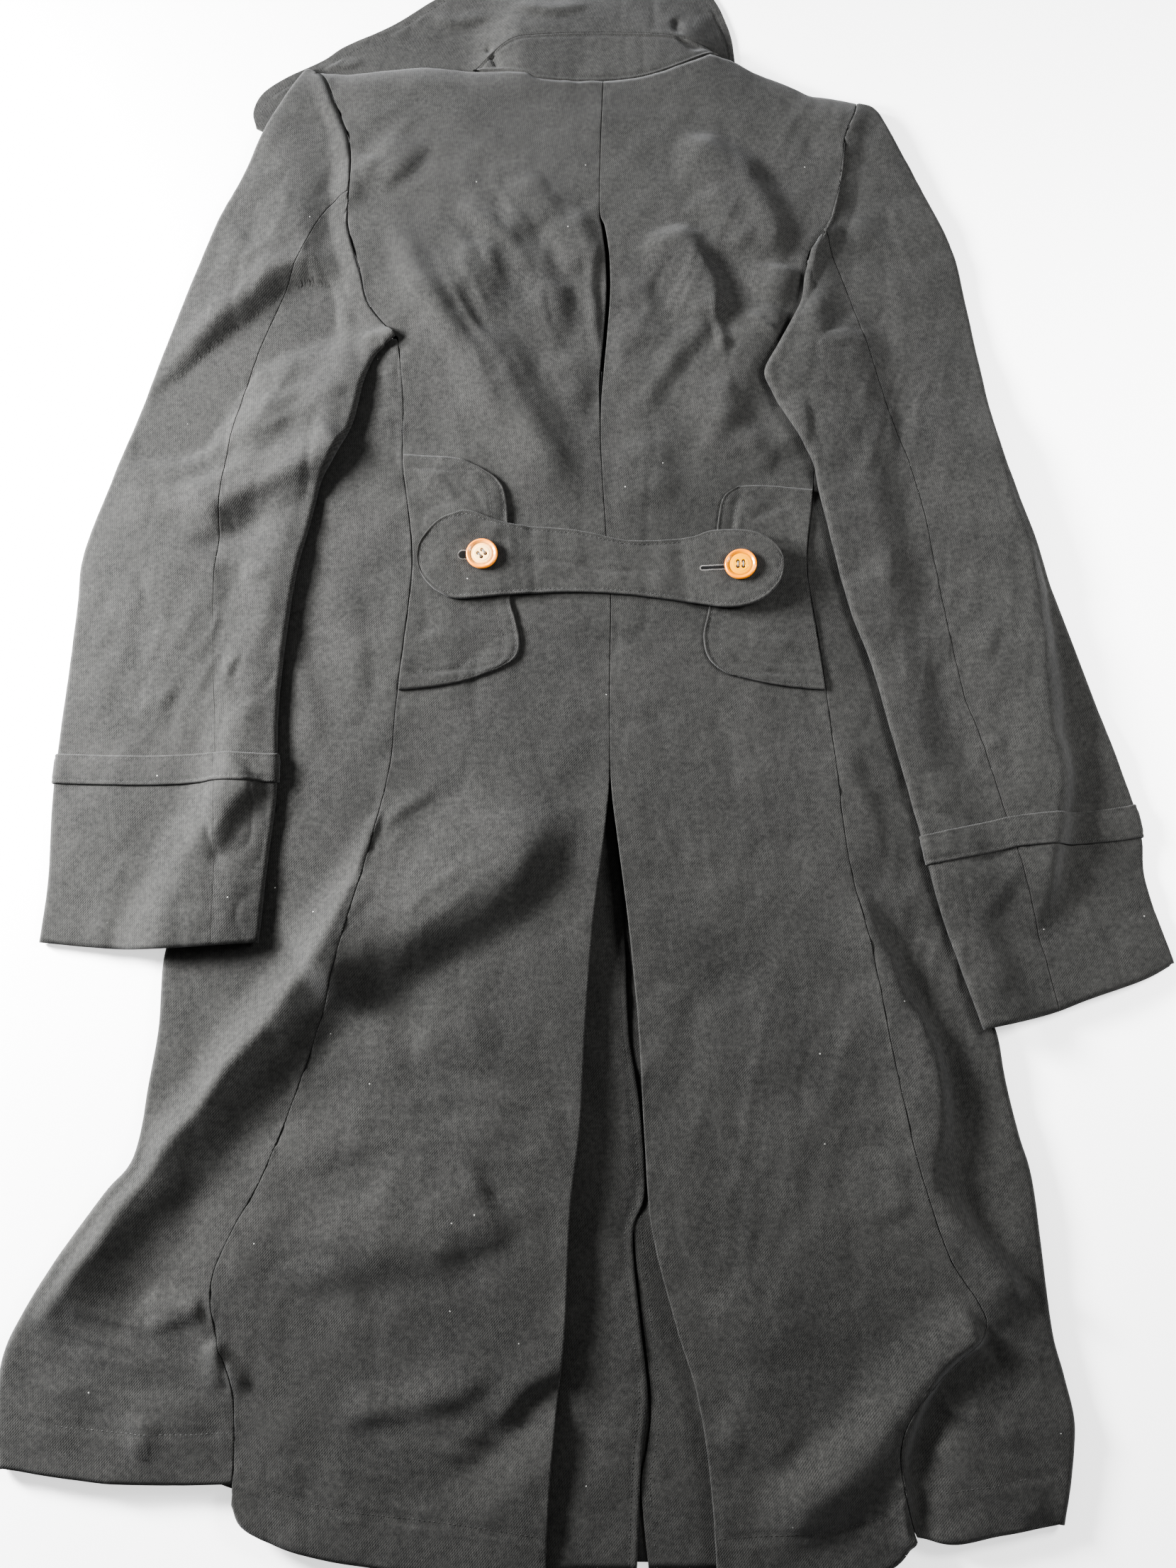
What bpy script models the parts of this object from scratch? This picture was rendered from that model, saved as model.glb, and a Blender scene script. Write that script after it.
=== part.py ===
# Trench coat laid flat on a table, front down and back up.
# Every piece is a cloth wall worked out from the cutting sizes below.
# Working units are millimetres: "across" runs to the right and "down" from
# the nape to the hem, both measured from the collar seam at centre back.
import bpy
import bmesh
import math
import numpy as np
from mathutils import Matrix, Vector

# Driving sizes

CLOTH = 1.5            # thickness of the cotton twill
SEAM = 0.4             # space left between two pieces at a seam
LAY = 0.5              # space under a piece that lies on another
BUTTON_RADIUS = 10.75
BUTTON_HEIGHT = 3.4
BUTTON_RIM = 1.6
BUTTON_DISH = 0.9
BUTTON_HOLE = 1.1      # radius of one of the four thread holes
BUTTON_HOLE_RING = 2.5
CENTRE_ACROSS = -0.4   # the point of the pattern that becomes the origin
CENTRE_DOWN = 440.5
SLEEVE_RAMP = 36.0     # how far a sleeve needs to come down from the body to the table
OVERLAP = 75.0         # how far each front passes the centre
SIDE_TURN = 20.0       # cloth of a side panel that turns under the coat
LIFT_STEP = 1.9        # the left front lies on the right one

# Outlines, each a short table of points (across, down)

NECK = {"left": [(0, 0), (-29, 0), (-48, -2), (-57, -7)],
        "right": [(0, 0), (28, -3), (55, -12), (80, -23)]}
SHOULDER = {"left": [(-57, -7), (-80, -12), (-106, -15), (-133, -18), (-159, -16), (-190, -12),
                     (-214, -13)],
            "right": [(80, -23), (98, -19), (115, -12), (135, -4), (154, 6), (170, 9), (189, 13)]}
ARMHOLE = {"left": [(-214, -13), (-206, -2), (-199, 17), (-193, 32), (-187, 50), (-185, 71),
                    (-185, 93), (-186, 112), (-183, 130), (-174, 161), (-170, 179), (-160, 196),
                    (-146, 212)],
           "right": [(189, 13), (186, 26), (178, 47), (174, 78), (165, 119), (149, 142),
                     (145, 160), (143, 180), (145, 200), (151, 217)]}
PRINCESS = {"left": [(-146, 212), (-141, 259), (-140, 306), (-134, 347), (-131, 384), (-134, 426),
                     (-138, 473), (-141, 521), (-148, 556), (-158, 602), (-171, 660), (-186, 709),
                     (-209, 776), (-226, 810), (-237, 840), (-233, 868), (-222, 896), (-219, 925),
                     (-219, 963)],
            "right": [(151, 217), (148, 281), (144, 330), (139, 366), (138, 393), (144, 443),
                      (150, 507), (157, 585), (169, 646), (179, 709), (190, 774), (206, 826),
                      (222, 852), (225, 868), (199, 892), (179, 912), (171, 932), (173, 956),
                      (179, 982)]}
SIDE_EDGE = {"left": [(-160, 216), (-168, 228), (-176, 245), (-183, 268), (-190, 292), (-200, 312),
                      (-208, 335), (-216, 370), (-222, 405), (-226, 440), (-231, 480), (-238, 515),
                      (-248, 550), (-263, 587), (-277, 624), (-283, 650), (-283, 691), (-287, 727),
                      (-292, 769), (-307, 789), (-329, 821), (-352, 859), (-362, 885), (-363, 917),
                      (-359, 945)],
             "right": [(168, 222), (172, 255), (176, 298), (178, 340), (182, 382), (187, 423),
                       (196, 470), (206, 520), (217, 568), (229, 624), (239, 669), (247, 695),
                       (250, 721), (256, 755), (262, 780), (265, 822), (268, 870), (273, 894),
                       (277, 920), (273, 950), (267, 975)]}
CENTRE_BACK = {"left": [(0, 0), (-2, 53), (-3, 108), (-1, 125), (2, 150), (3, 178), (0, 212),
                        (-3, 244), (-3, 268), (-2, 307), (1, 359), (4, 405), (3, 465), (3, 515),
                        (2.2, 541), (-2, 579), (-8, 625), (-13, 690), (-16, 749), (-22, 800),
                        (-25, 868), (-30, 915), (-34, 960), (-36, 1008)],
               "right": [(0, 0), (-2, 53), (-3, 108), (3, 122), (7, 145), (8, 174), (6, 207),
                         (2, 238), (-2, 268), (-2, 307), (1, 359), (4, 405), (3, 465), (3, 515),
                         (4, 541), (8, 575), (14, 625), (20, 690), (23, 755), (27, 810), (41, 865),
                         (53, 904), (60, 952), (63, 1008)]}
BACK_HEM = {"left": [(-36, 1008), (-84, 1001), (-134, 996), (-163, 992), (-190, 985), (-212, 975),
                     (-219, 963)],
            "right": [(63, 1008), (99, 1006), (139, 1003), (165, 996), (179, 982)]}
SIDE_HEM = {"left": [(-220, 952), (-252, 953), (-290, 952), (-320, 949), (-359, 945)],
            "right": [(179, 980), (200, 984), (224, 980), (249, 976), (267, 975)]}
FRONT_TOP = {"left": [(-196, 22), (-160, 2), (-120, 0), (-72, 8), (-50, 34), (-18, 62), (30, 74),
                      (75, 78)],
             "right": [(180, 42), (150, 24), (112, 6), (86, 2), (62, 32), (28, 60), (-20, 74),
                       (-75, 78)]}
FRONT_HEM = {"left": [(-330, 944), (-250, 948), (-160, 975), (-60, 992), (75, 996)],
             "right": [(240, 972), (180, 978), (100, 990), (0, 994), (-75, 994)]}
SLEEVE_OUTER = {"left": [(-214, -13), (-223, -17), (-231, -4), (-251, 35), (-267, 79), (-282, 113),
                         (-302, 178), (-324, 254), (-344, 320), (-358, 372), (-359, 410),
                         (-362, 487), (-364, 540), (-362, 593), (-364, 637)],
                "right": [(189, 13), (203, 18), (214, 40), (240, 102), (254, 139), (261, 183),
                          (274, 281), (289, 338), (315, 429), (332, 490), (348, 549), (351, 571),
                          (351, 600), (364, 650)]}
SLEEVE_INNER = {"left": [(-146, 212), (-161, 226), (-169, 248), (-175, 278), (-187, 305),
                         (-195, 322), (-201, 350), (-208, 383), (-213, 430), (-216, 484),
                         (-214, 535), (-217, 585), (-220, 638)],
                "right": [(149, 142), (143, 165), (140, 184), (131, 203), (122, 220), (112, 240),
                          (117, 255), (126, 274), (143, 307), (148, 335), (164, 412), (177, 452),
                          (187, 497), (203, 565), (212, 611), (224, 653), (236, 692)]}
CUFF_END = {"left": [(-364, 637), (-321, 641), (-286, 642), (-220, 638)],
            "right": [(364, 650), (342, 661), (306, 673), (278, 683), (236, 692)]}
BACK_SEAM = {"left": [(-185, 93), (-196, 99), (-206, 113), (-222, 153), (-238, 195), (-251, 238),
                      (-262, 300), (-265, 385), (-263, 436), (-257, 500), (-251, 570), (-249, 641)],
             "right": [(159, 127), (164, 146), (176, 185), (199, 271), (212, 312), (221, 355),
                       (236, 463), (247, 504), (258, 550), (268, 592), (278, 640), (286, 680)]}
BAND_TOP = {"left": ((-362, 513), (-256, 514), (-217, 515)),
            "right": ((347, 547), (259, 557), (204, 569))}
BAND_BOTTOM = {"left": ((-364, 533), (-255, 533), (-215, 534)),
               "right": ((351, 569), (264, 577), (208, 588))}
LEAF_LOWER = [(-248, 38), (-238, 22), (-222, 2), (-205, -3), (-186, -2), (-159, -6), (-133, -8),
              (-112, -10), (-97, -17), (-82, -30), (-66, -39), (-38, -42), (0, -43), (37, -42),
              (56, -40), (70, -36), (84, -30), (96, -14)]
LEAF_OUTER = [(-259, 32), (-262, 18), (-256, 2), (-239, -12), (-212, -27), (-195, -40), (-161, -58),
              (-131, -80), (-100, -101), (-60, -118), (0, -127), (40, -121), (70, -103), (86, -80),
              (94, -60), (98, -44), (100, -22)]
NECK_CORNER = 79.0     # where the neck seam meets the right shoulder
STAND_SEAM = [(-98, -17), (-80, -14), (-66, -10), (-56, -7), (-48, -3), (-29, -1), (0, -1), (28, -4),
              (55, -13), (NECK_CORNER, -24.4), (88, -23)]
BELT_UPPER = [(-127, 370), (-121, 358), (-112, 350), (-102, 346), (-92, 345), (-64, 354), (-17, 359),
              (16, 366), (56, 364), (71, 360), (89, 360), (103, 363), (114, 370), (119, 378)]
BELT_LOWER = [(-127, 385), (-121, 395), (-112, 403), (-98, 408), (-63, 405), (-23, 403), (16, 405),
              (55, 410), (80, 415), (95, 414), (107, 409), (116, 400), (120, 390)]
TAB_FREE = {"left": [(-87, 312), (-73, 322), (-67, 338), (-65, 380), (-64, 407), (-60, 422),
                     (-57, 438), (-60, 449), (-72, 457)],
            "right": [(92, 325), (82, 333), (78, 348), (74, 385), (70, 414), (66, 433), (69, 449),
                      (80, 459), (90, 462)]}
TAB_TOP = {"left": [(-139, 301), (-118, 303), (-100, 306), (-87, 312)],
           "right": [(142, 327), (122, 325), (106, 324), (92, 325)]}
TAB_BOTTOM = {"left": [(-137, 471), (-118, 469), (-95, 465), (-72, 457)],
              "right": [(145, 471), (125, 469), (106, 466), (90, 462)]}
TAB_EDGE_GAP = 1.0     # the tab stops just short of the princess seam
BUTTON_AT = {"left": (-83, 377), "right": (91, 386)}
UNDERLAY_LEFT_EDGE = [(4, 548), (10, 597), (13, 645), (15, 695), (21, 735), (24, 789), (16, 815),
                      (20, 865), (24, 905), (20, 940), (17, 1000)]
UNDERLAY_RIGHT_EDGE = [(6, 552), (10, 640), (12, 740), (18, 830), (26, 905), (24, 932), (20, 955),
                       (24, 1000)]
UNDERLAY_REACH = 27.0  # how far an underlay goes in under its back panel
UNDERLAY_ENDS = (530.0, 998.0)
PLEAT_ENDS = (94.0, 300.0)
PLEAT_HALF = 30.0
PLEAT_CENTRE = 2.0

# Heights of the cloth over the table: a row for each distance down

BODY_HEIGHT = [
    # down, centre, seam, side
    (0, 12.5, 10.5, 8.0),
    (60, 12.5, 11.5, 8.0),
    (140, 13.0, 12.0, 8.0),
    (215, 13.0, 10.5, 7.0),
    (320, 12.0, 9.5, 6.0),
    (420, 12.0, 9.5, 6.0),
    (520, 13.5, 10.0, 6.5),
    (640, 15.0, 12.0, 7.0),
    (760, 15.5, 13.0, 7.5),
    (860, 15.0, 13.0, 8.0),
    (950, 13.5, 11.0, 7.5),
    (1010, 12.5, 10.0, 7.0),
]
LOWEST_TOP = 4.6       # the back's outer face never comes lower than this
SHOULDER_EDGE = 3.8    # height of the back's outer face at the shoulder line
SHOULDER_ROLL = 26.0   # length over which the back rolls down to it

# Folds of the body: points (across, down), width to the left and right of the
# direction of travel, height of the crest (a trough is negative), and the
# share of the length over which each end fades out

BODY_FOLDS = [
    # name, points, left, right, height, fade in, fade out
    ("skirt ridge", [(-156, 566), (-187, 632), (-230, 701), (-282, 766), (-330, 823), (-355, 880)],
     26, 38, 9.0, 0.35, 0.05),
    ("beside skirt ridge", [(-156, 655), (-192, 703), (-246, 761), (-293, 806), (-334, 860)],
     22, 34, -6.5, 0.3, 0.2),
    ("from vent top", [(-3, 551), (-49, 594), (-105, 638), (-156, 662), (-183, 695)],
     28, 28, -3.5, 0.2, 0.2),
    ("low left", [(-52, 807), (-77, 817), (-114, 824), (-151, 833), (-173, 855)],
     28, 30, -3.0, 0.3, 0.3),
    ("above left hem", [(4, 893), (-32, 912), (-65, 938), (-110, 961)], 28, 30, -3.0, 0.3, 0.3),
    ("right ridge", [(164, 625), (183, 666), (196, 704), (201, 732), (199, 780), (221, 812),
                     (242, 831), (262, 856)], 26, 13, 3.6, 0.3, 0.2),
    ("beside right ridge", [(166, 606), (194, 655), (213, 700), (223, 740), (227, 775), (237, 808),
                            (250, 830), (262, 850)], 14, 24, -3.6, 0.3, 0.2),
    ("overlap", [(224, 862), (203, 886), (182, 904), (164, 926), (141, 948), (119, 966)],
     34, 12, 3.0, 0.1, 0.4),
    ("under overlap", [(238, 872), (213, 893), (192, 912), (180, 936), (183, 975)],
     12, 26, -4.0, 0.1, 0.1),
    ("across the back", [(-127, 166), (-98, 222), (-73, 259), (-46, 310), (-11, 347)],
     48, 26, 3.4, 0.25, 0.25),
    ("beside it", [(-98, 166), (-70, 222), (-46, 262), (-22, 308)], 26, 30, -2.2, 0.25, 0.3),
    ("right shoulder blade", [(36, 26), (65, 37), (93, 57), (115, 78), (125, 107), (131, 150),
                              (131, 193)], 26, 24, -3.4, 0.25, 0.25),
    ("right back", [(63, 119), (73, 148), (85, 176), (94, 204), (96, 230)], 22, 18, -3.0, 0.3, 0.3),
    ("below right back", [(78, 198), (70, 224), (60, 243), (47, 255), (37, 274)],
     20, 20, -2.2, 0.3, 0.3),
]
SLEEVE_FOLDS = {
    "left": [
        ("upper arm", [(-178, 165), (-228, 176), (-275, 226), (-319, 302)], 30, 30, -2.8, .2, .3),
        ("above elbow", [(-190, 304), (-230, 316), (-275, 343)], 22, 22, 3.0, .2, .3),
        ("elbow", [(-193, 330), (-220, 342), (-253, 354), (-287, 377)], 20, 22, -3.0, .1, .3),
    ],
    "right": [
        ("long fold", [(269, 261), (284, 343), (291, 394), (291, 452), (289, 503), (285, 571)],
         36, 14, 2.4, .3, .15),
        ("beside long fold", [(292, 340), (299, 411), (306, 485), (307, 532), (296, 584),
                              (278, 640)], 15, 28, -3.0, .3, .1),
    ],
}
SLEEVE_THICKNESS = [
    # share of the sleeve's length, thickness
    (0.0, 11.0),
    (0.2, 10.0),
    (0.5, 8.0),
    (1.0, 6.5),
]
SLEEVE_CLEAR = 2.0     # space between the body and a sleeve that lies on it
SLEEVE_LIFT_FROM = {"left": (192.0, 20.0), "right": (98.0, 40.0)}
LEAF_TOP = 11.5        # height of the collar's leaf at the stand
LEAF_FALLS = (-62.0, 58.0, 46.0)   # it starts to fall at these places, over this length
BELT_LIFT = 7.0        # the belt's right end stands up
BELT_LIFT_FROM = (45.0, 75.0)
BELT_REST = 9.0        # a belt point rests on the highest cloth this near
UNDER_REACH = 9.0      # an underlay stays below the lowest cloth this near
PLEAT_DIP = 4.2        # the pleat's underlay sinks this far at its middle
UNDERLAY_TOP = {"left": 7.5, "right": 5.4}

# Rows and columns of the walls

ARM_ROWS = {"left": (0, .035, .09, .2, .31, .42, .56, .7, .85, 1),
            "right": (0, .035, .09, .2, .36, .53, .6, .73, .86, 1)}
CENTRE_ARM_ROWS = (0, .035, .09, .2, .31, .43, .57, .71, .85, 1)
CENTRE_ARM_END = 214.0    # the centre seam's row across from the underarm
FRONT_FROM = 2         # the front panel starts at this armhole row
SLEEVE_SPLIT = {"left": 5, "right": 5}
SLEEVE_END = {"left": 9, "right": 6}
LOWER_ROWS = 26
BACK_COLUMNS = (3, 9)  # along the neck and along the shoulder
SIDE_COLUMNS = 7
NOSE_STEPS = 3
LEAF_COLUMNS = 22
STAND_TIP = 1.2        # width of the stand's pointed left end
SLEEVE_ROWS_ABOVE = 13
SLEEVE_ROWS_BELOW = 4

MM = 0.001


def smooth(t):
    """A step from 0 to 1 with soft ends."""
    t = np.clip(t, 0.0, 1.0)
    return t * t * (3.0 - 2.0 * t)


def spline(points, count=160):
    """A smooth curve through the points, as count points evenly spaced along it."""
    p = np.array(points, float)
    p = np.vstack([2 * p[0] - p[1], p, 2 * p[-1] - p[-2]])
    t = np.linspace(0, 1, 12, endpoint=False)[:, None]
    parts = []
    for i in range(1, len(p) - 2):
        a, b, c, d = p[i - 1], p[i], p[i + 1], p[i + 2]
        parts.append(0.5 * (2 * b + (c - a) * t + (2 * a - 5 * b + 4 * c - d) * t ** 2
                            + (3 * b - a - 3 * c + d) * t ** 3))
    dense = np.vstack(parts + [p[-2][None]])
    return resample(dense, np.linspace(0, 1, count))


def resample(line, shares):
    """The points of a line at the given shares of its length."""
    line = np.asarray(line, float)
    step = np.hypot(*np.diff(line, axis=0).T)
    at = np.concatenate([[0], np.cumsum(step)])
    at = at / at[-1]
    return np.column_stack([np.interp(shares, at, line[:, 0]), np.interp(shares, at, line[:, 1])])


def share_at(line, point):
    """The share of a line's length at the point of it nearest to the given one."""
    step = np.hypot(*np.diff(line, axis=0).T)
    at = np.concatenate([[0], np.cumsum(step)])
    return at[np.argmin(np.hypot(*(line - point).T))] / at[-1]


def nearest(line, across, down):
    """Signed distance from a line (positive to its right for one that runs
    down), and the share of its length at the nearest point."""
    start, run = line[:-1], np.diff(line, axis=0)
    length = np.hypot(run[:, 0], run[:, 1])
    flat_a, flat_d = np.ravel(across), np.ravel(down)
    da = flat_a[:, None] - start[:, 0]
    dd = flat_d[:, None] - start[:, 1]
    t = np.clip((da * run[:, 0] + dd * run[:, 1]) / length ** 2, 0, 1)
    off = np.hypot(da - t * run[:, 0], dd - t * run[:, 1])
    best = np.argmin(off, axis=1)
    pick = np.arange(len(flat_a)), best
    cross = da[pick] * run[best, 1] - dd[pick] * run[best, 0]
    at = np.concatenate([[0], np.cumsum(length)])
    share = (at[best] + t[pick] * length[best]) / at[-1]
    shape = np.shape(across)
    return (np.where(cross >= 0, 1, -1) * off[pick]).reshape(shape), share.reshape(shape)


def fold_heights(folds, across, down):
    """The sum of all folds: each a cosine bump across a curve, faded at its ends."""
    total = np.zeros(np.shape(across))
    for _, points, left, right, height, fade_in, fade_out in folds:
        gap, share = nearest(spline(points, 40), across, down)
        width = np.where(gap < 0, left, right)
        bump = np.where(np.abs(gap) < width, np.cos(np.abs(gap) / width * math.pi / 2) ** 2, 0)
        total += height * bump * smooth(share / fade_in) * smooth((1 - share) / fade_out)
    return total


def half_width(table, down, above):
    """How far across an outline lies at each distance down."""
    line = spline(table)
    order = np.argsort(line[:, 1])
    reach = np.interp(down, line[order, 1], np.abs(line[order, 0]))
    return np.where(down < line[0, 1], above, reach)


def body_top(across, down):
    """Height of the outer face of the laid coat: a base from the table of
    heights, rolled down at the shoulder line, with its folds."""
    across, down = np.broadcast_arrays(np.asarray(across, float), np.asarray(down, float))
    rows = np.array(BODY_HEIGHT)
    centre, seam, side = (np.interp(down, rows[:, 0], rows[:, k]) for k in (1, 2, 3))
    base = np.zeros(across.shape)
    for name, here in (("left", across < 0), ("right", across >= 0)):
        arm = half_width(ARMHOLE[name], down, 200.0)
        prin = np.where(down < ARMHOLE[name][-1][1], arm, half_width(PRINCESS[name], down, 150.0))
        edge = np.maximum(half_width(SIDE_EDGE[name], down, 175.0), prin + 14)
        inner = smooth(np.abs(across) / prin)
        outer = np.clip((np.abs(across) - prin) / (edge - prin), 0, 1) ** 1.3
        base = np.where(here, centre + (seam - centre) * inner + (side - seam) * outer, base)
    top = base + fold_heights(BODY_FOLDS, across, down)
    line = np.vstack([spline(SHOULDER["left"])[::-1], spline(SHOULDER["right"])])
    below = np.clip((down - np.interp(across, line[:, 0], line[:, 1])) / SHOULDER_ROLL, 0, 1)
    roll = np.sqrt(1 - (1 - below) ** 2)
    near_neck = 1 - smooth((np.abs(across - 12) - 68) / 45)
    roll = roll + (1 - roll) * near_neck
    top = SHOULDER_EDGE + (top - SHOULDER_EDGE) * roll
    return np.maximum(top, np.where(roll > 0.99, LOWEST_TOP, SHOULDER_EDGE))


def sleeve_under(side, across, down):
    """Height of the underside of a sleeve: on the table, and up on the body
    where it lies over it, with a ramp beside the body's edge."""
    sign = -1 if side == "left" else 1
    edge = np.vstack([spline(ARMHOLE[side]), spline(SIDE_EDGE[side])])
    gap, _ = nearest(edge, across, down)
    inside = -gap * sign
    start, run = SLEEVE_LIFT_FROM[side]
    over = smooth((inside + SLEEVE_RAMP) / SLEEVE_RAMP) * smooth((down - start) / run)
    on_body = (body_top(across, down) + SLEEVE_CLEAR) * over
    if side == "right":
        return on_body
    leaf = np.array(LEAF_LOWER[:4])[::-1]
    limit = np.interp(across, leaf[::-1, 0], leaf[::-1, 1])
    on_leaf = (CLOTH + LAY) * (1 - smooth((down - limit - 6) / 26))
    return np.maximum(on_body, on_leaf)


def sleeve_top(side, across, down, share, across_share):
    """Height of the upper face of a sleeve over its underside."""
    table = np.array(SLEEVE_THICKNESS)
    thick = np.interp(share, table[:, 0], table[:, 1])
    low = sleeve_under(side, across, down)
    own = low + thick * (0.62 + 0.38 * np.sin(math.pi * across_share))
    own = own + fold_heights(SLEEVE_FOLDS[side], across, down)
    seam = body_top(across, down)
    joined = seam + (own - seam) * smooth(share / 0.12)
    return np.maximum(joined, low + 2 * CLOTH + 1.5)


def coons(top, bottom, left, right):
    """A plan patch between four edge lines: the rows run from the left line
    to the right one, and the top and bottom lines bend the rows near them."""
    v = np.linspace(0, 1, len(left))[:, None, None]
    shares_t = line_shares(top)[None, :, None]
    shares_b = line_shares(bottom)[None, :, None]
    u = shares_t + (shares_b - shares_t) * v
    grid = left[:, None] * (1 - u) + right[:, None] * u
    bend_top = top - (left[0] * (1 - shares_t[0]) + right[0] * shares_t[0])
    bend_bottom = bottom - (left[-1] * (1 - shares_b[0]) + right[-1] * shares_b[0])
    grid = grid + (1 - v) ** 3 * bend_top[None] + v ** 3 * bend_bottom[None]
    grid[:, 0], grid[:, -1] = left, right
    return grid


def line_shares(line):
    """How far along a line each of its points lies, from 0 to 1."""
    step = np.hypot(*np.diff(line, axis=0).T)
    at = np.concatenate([[0], np.cumsum(step)])
    return at / at[-1]


def side_normals(line):
    """Unit normals of a line in plan, to its right for one that runs down."""
    run = np.gradient(line, axis=0)
    run /= np.hypot(run[:, 0], run[:, 1])[:, None]
    return np.column_stack([run[:, 1], -run[:, 0]])


def surface_normals(points):
    """Unit normals of a grid of points, from its two directions."""
    along = np.gradient(points, axis=0)
    across = np.gradient(points, axis=1)
    normal = np.cross(across, along)
    return normal / np.maximum(np.linalg.norm(normal, axis=2, keepdims=True), 1e-9)


def wall(outer, up, flat_first=None, flat_last=None, flat_head=False):
    """The inner grid of a wall: each outer point moved in by the cloth's
    thickness. up is 1 where the grid's normals already point out. The first
    and last columns may move straight down or up, as at a seam, and so may
    the first row."""
    normal = surface_normals(outer) * up
    if flat_head:
        head = normal[0]
        upright = np.sign(head[:, 2:]) * (0, 0, 1)
        normal[0] = np.where(np.abs(head[:, 2:]) > 0.3, upright, head)
    if flat_first is not None:
        normal[:, 0] = (0, 0, flat_first)
    if flat_last is not None:
        normal[:, -1] = (0, 0, flat_last)
    return outer - normal * CLOTH


def colour_material(name, colour, roughness, metallic=0.0):
    """A plain finish for one kind of piece."""
    mat = bpy.data.materials.new(name)
    mat.use_nodes = True
    shader = mat.node_tree.nodes["Principled BSDF"]
    shader.inputs["Base Color"].default_value = (*colour, 1)
    shader.inputs["Roughness"].default_value = roughness
    shader.inputs["Metallic"].default_value = metallic
    return mat


def place(points):
    """Pattern millimetres to metres, with the coat's middle over the origin."""
    points = np.asarray(points, float)
    moved = np.empty(points.shape)
    moved[..., 0] = points[..., 0] - CENTRE_ACROSS
    moved[..., 1] = CENTRE_DOWN - points[..., 1]
    moved[..., 2] = points[..., 2]
    return moved * MM


def split_cells(index, height):
    """Two triangles for each cell of a grid, parted along its more level
    diagonal, which is the way a fold runs."""
    a, b, c, d = index[:-1, :-1], index[:-1, 1:], index[1:, 1:], index[1:, :-1]
    z = height.ravel()
    level = (np.abs(z[a] - z[c]) <= np.abs(z[b] - z[d]))[..., None]
    first = np.where(level, np.stack([a, b, c], axis=-1), np.stack([a, b, d], axis=-1))
    second = np.where(level, np.stack([a, c, d], axis=-1), np.stack([b, c, d], axis=-1))
    return np.concatenate([first, second]).reshape(-1, 3)


def add_wall(name, outer, inner, material, collection):
    """One closed solid from the outer and the inner grid of a cloth wall."""
    rows, cols = outer.shape[:2]
    count = rows * cols
    verts = place(np.vstack([outer.reshape(-1, 3), inner.reshape(-1, 3)]))
    index = np.arange(count).reshape(rows, cols)
    outer_face = split_cells(index, outer[..., 2])
    inner_face = split_cells(index, inner[..., 2])[:, ::-1] + count
    edge = np.concatenate([index[0, :], index[1:, -1], index[-1, -2::-1], index[-2:0:-1, 0]])
    ahead = np.roll(edge, -1)
    rim = np.column_stack([edge, edge + count, ahead + count, ahead])
    faces = outer_face.tolist() + inner_face.tolist() + rim.tolist()
    mesh = bpy.data.meshes.new(name)
    mesh.from_pydata(verts.tolist(), [], faces)
    work = bmesh.new()
    work.from_mesh(mesh)
    bmesh.ops.triangulate(work, faces=work.faces[:])
    bmesh.ops.recalc_face_normals(work, faces=work.faces[:])
    if work.calc_volume(signed=True) < 0:
        bmesh.ops.reverse_faces(work, faces=work.faces[:])
    work.to_mesh(mesh)
    work.free()
    mesh.materials.append(material)
    obj = bpy.data.objects.new(name, mesh)
    collection.objects.link(obj)
    return obj


def facet_height(grids, across, down):
    """Height of the walls' flat facets over each point, taking the higher of
    the two ways in which a four-sided cell can be split."""
    across, down = np.ravel(across), np.ravel(down)
    best = np.full(across.shape, -np.inf)
    for grid in grids:
        a, b, c, d = grid[:-1, :-1], grid[:-1, 1:], grid[1:, 1:], grid[1:, :-1]
        for p, q, r in ((a, b, c), (a, c, d), (a, b, d), (b, c, d)):
            p, q, r = p.reshape(-1, 3), q.reshape(-1, 3), r.reshape(-1, 3)
            e, f = q - p, r - p
            area = e[:, 0] * f[:, 1] - e[:, 1] * f[:, 0]
            area = np.where(np.abs(area) < 1e-9, 1e-9, area)
            ga = across[:, None] - p[:, 0]
            gd = down[:, None] - p[:, 1]
            s = (ga * f[:, 1] - gd * f[:, 0]) / area
            t = (gd * e[:, 0] - ga * e[:, 1]) / area
            hit = (s >= -0.02) & (t >= -0.02) & (s + t <= 1.02)
            z = np.where(hit, p[:, 2] + s * e[:, 2] + t * f[:, 2], -np.inf)
            best = np.maximum(best, z.max(axis=1))
    return best


def body_rows(side):
    """The shared rows of the body: points down the armhole and the princess
    seam, which the back, side and front panels all use."""
    arm = resample(spline(ARMHOLE[side]), ARM_ROWS[side])
    low = resample(spline(PRINCESS[side]), np.linspace(0, 1, LOWER_ROWS + 1))
    return np.vstack([arm, low[1:]]), len(arm) - 1


def centre_rows(side):
    """Points down the centre back, one for each row of the outer seam."""
    line = spline(CENTRE_BACK[side], 400)
    upper = np.array(CENTRE_ARM_ROWS) * CENTRE_ARM_END
    lower = np.linspace(CENTRE_ARM_END, line[-1, 1], LOWER_ROWS + 1)[1:]
    down = np.concatenate([upper, lower])
    return np.column_stack([np.interp(down, line[:, 1], line[:, 0]), down])


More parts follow.
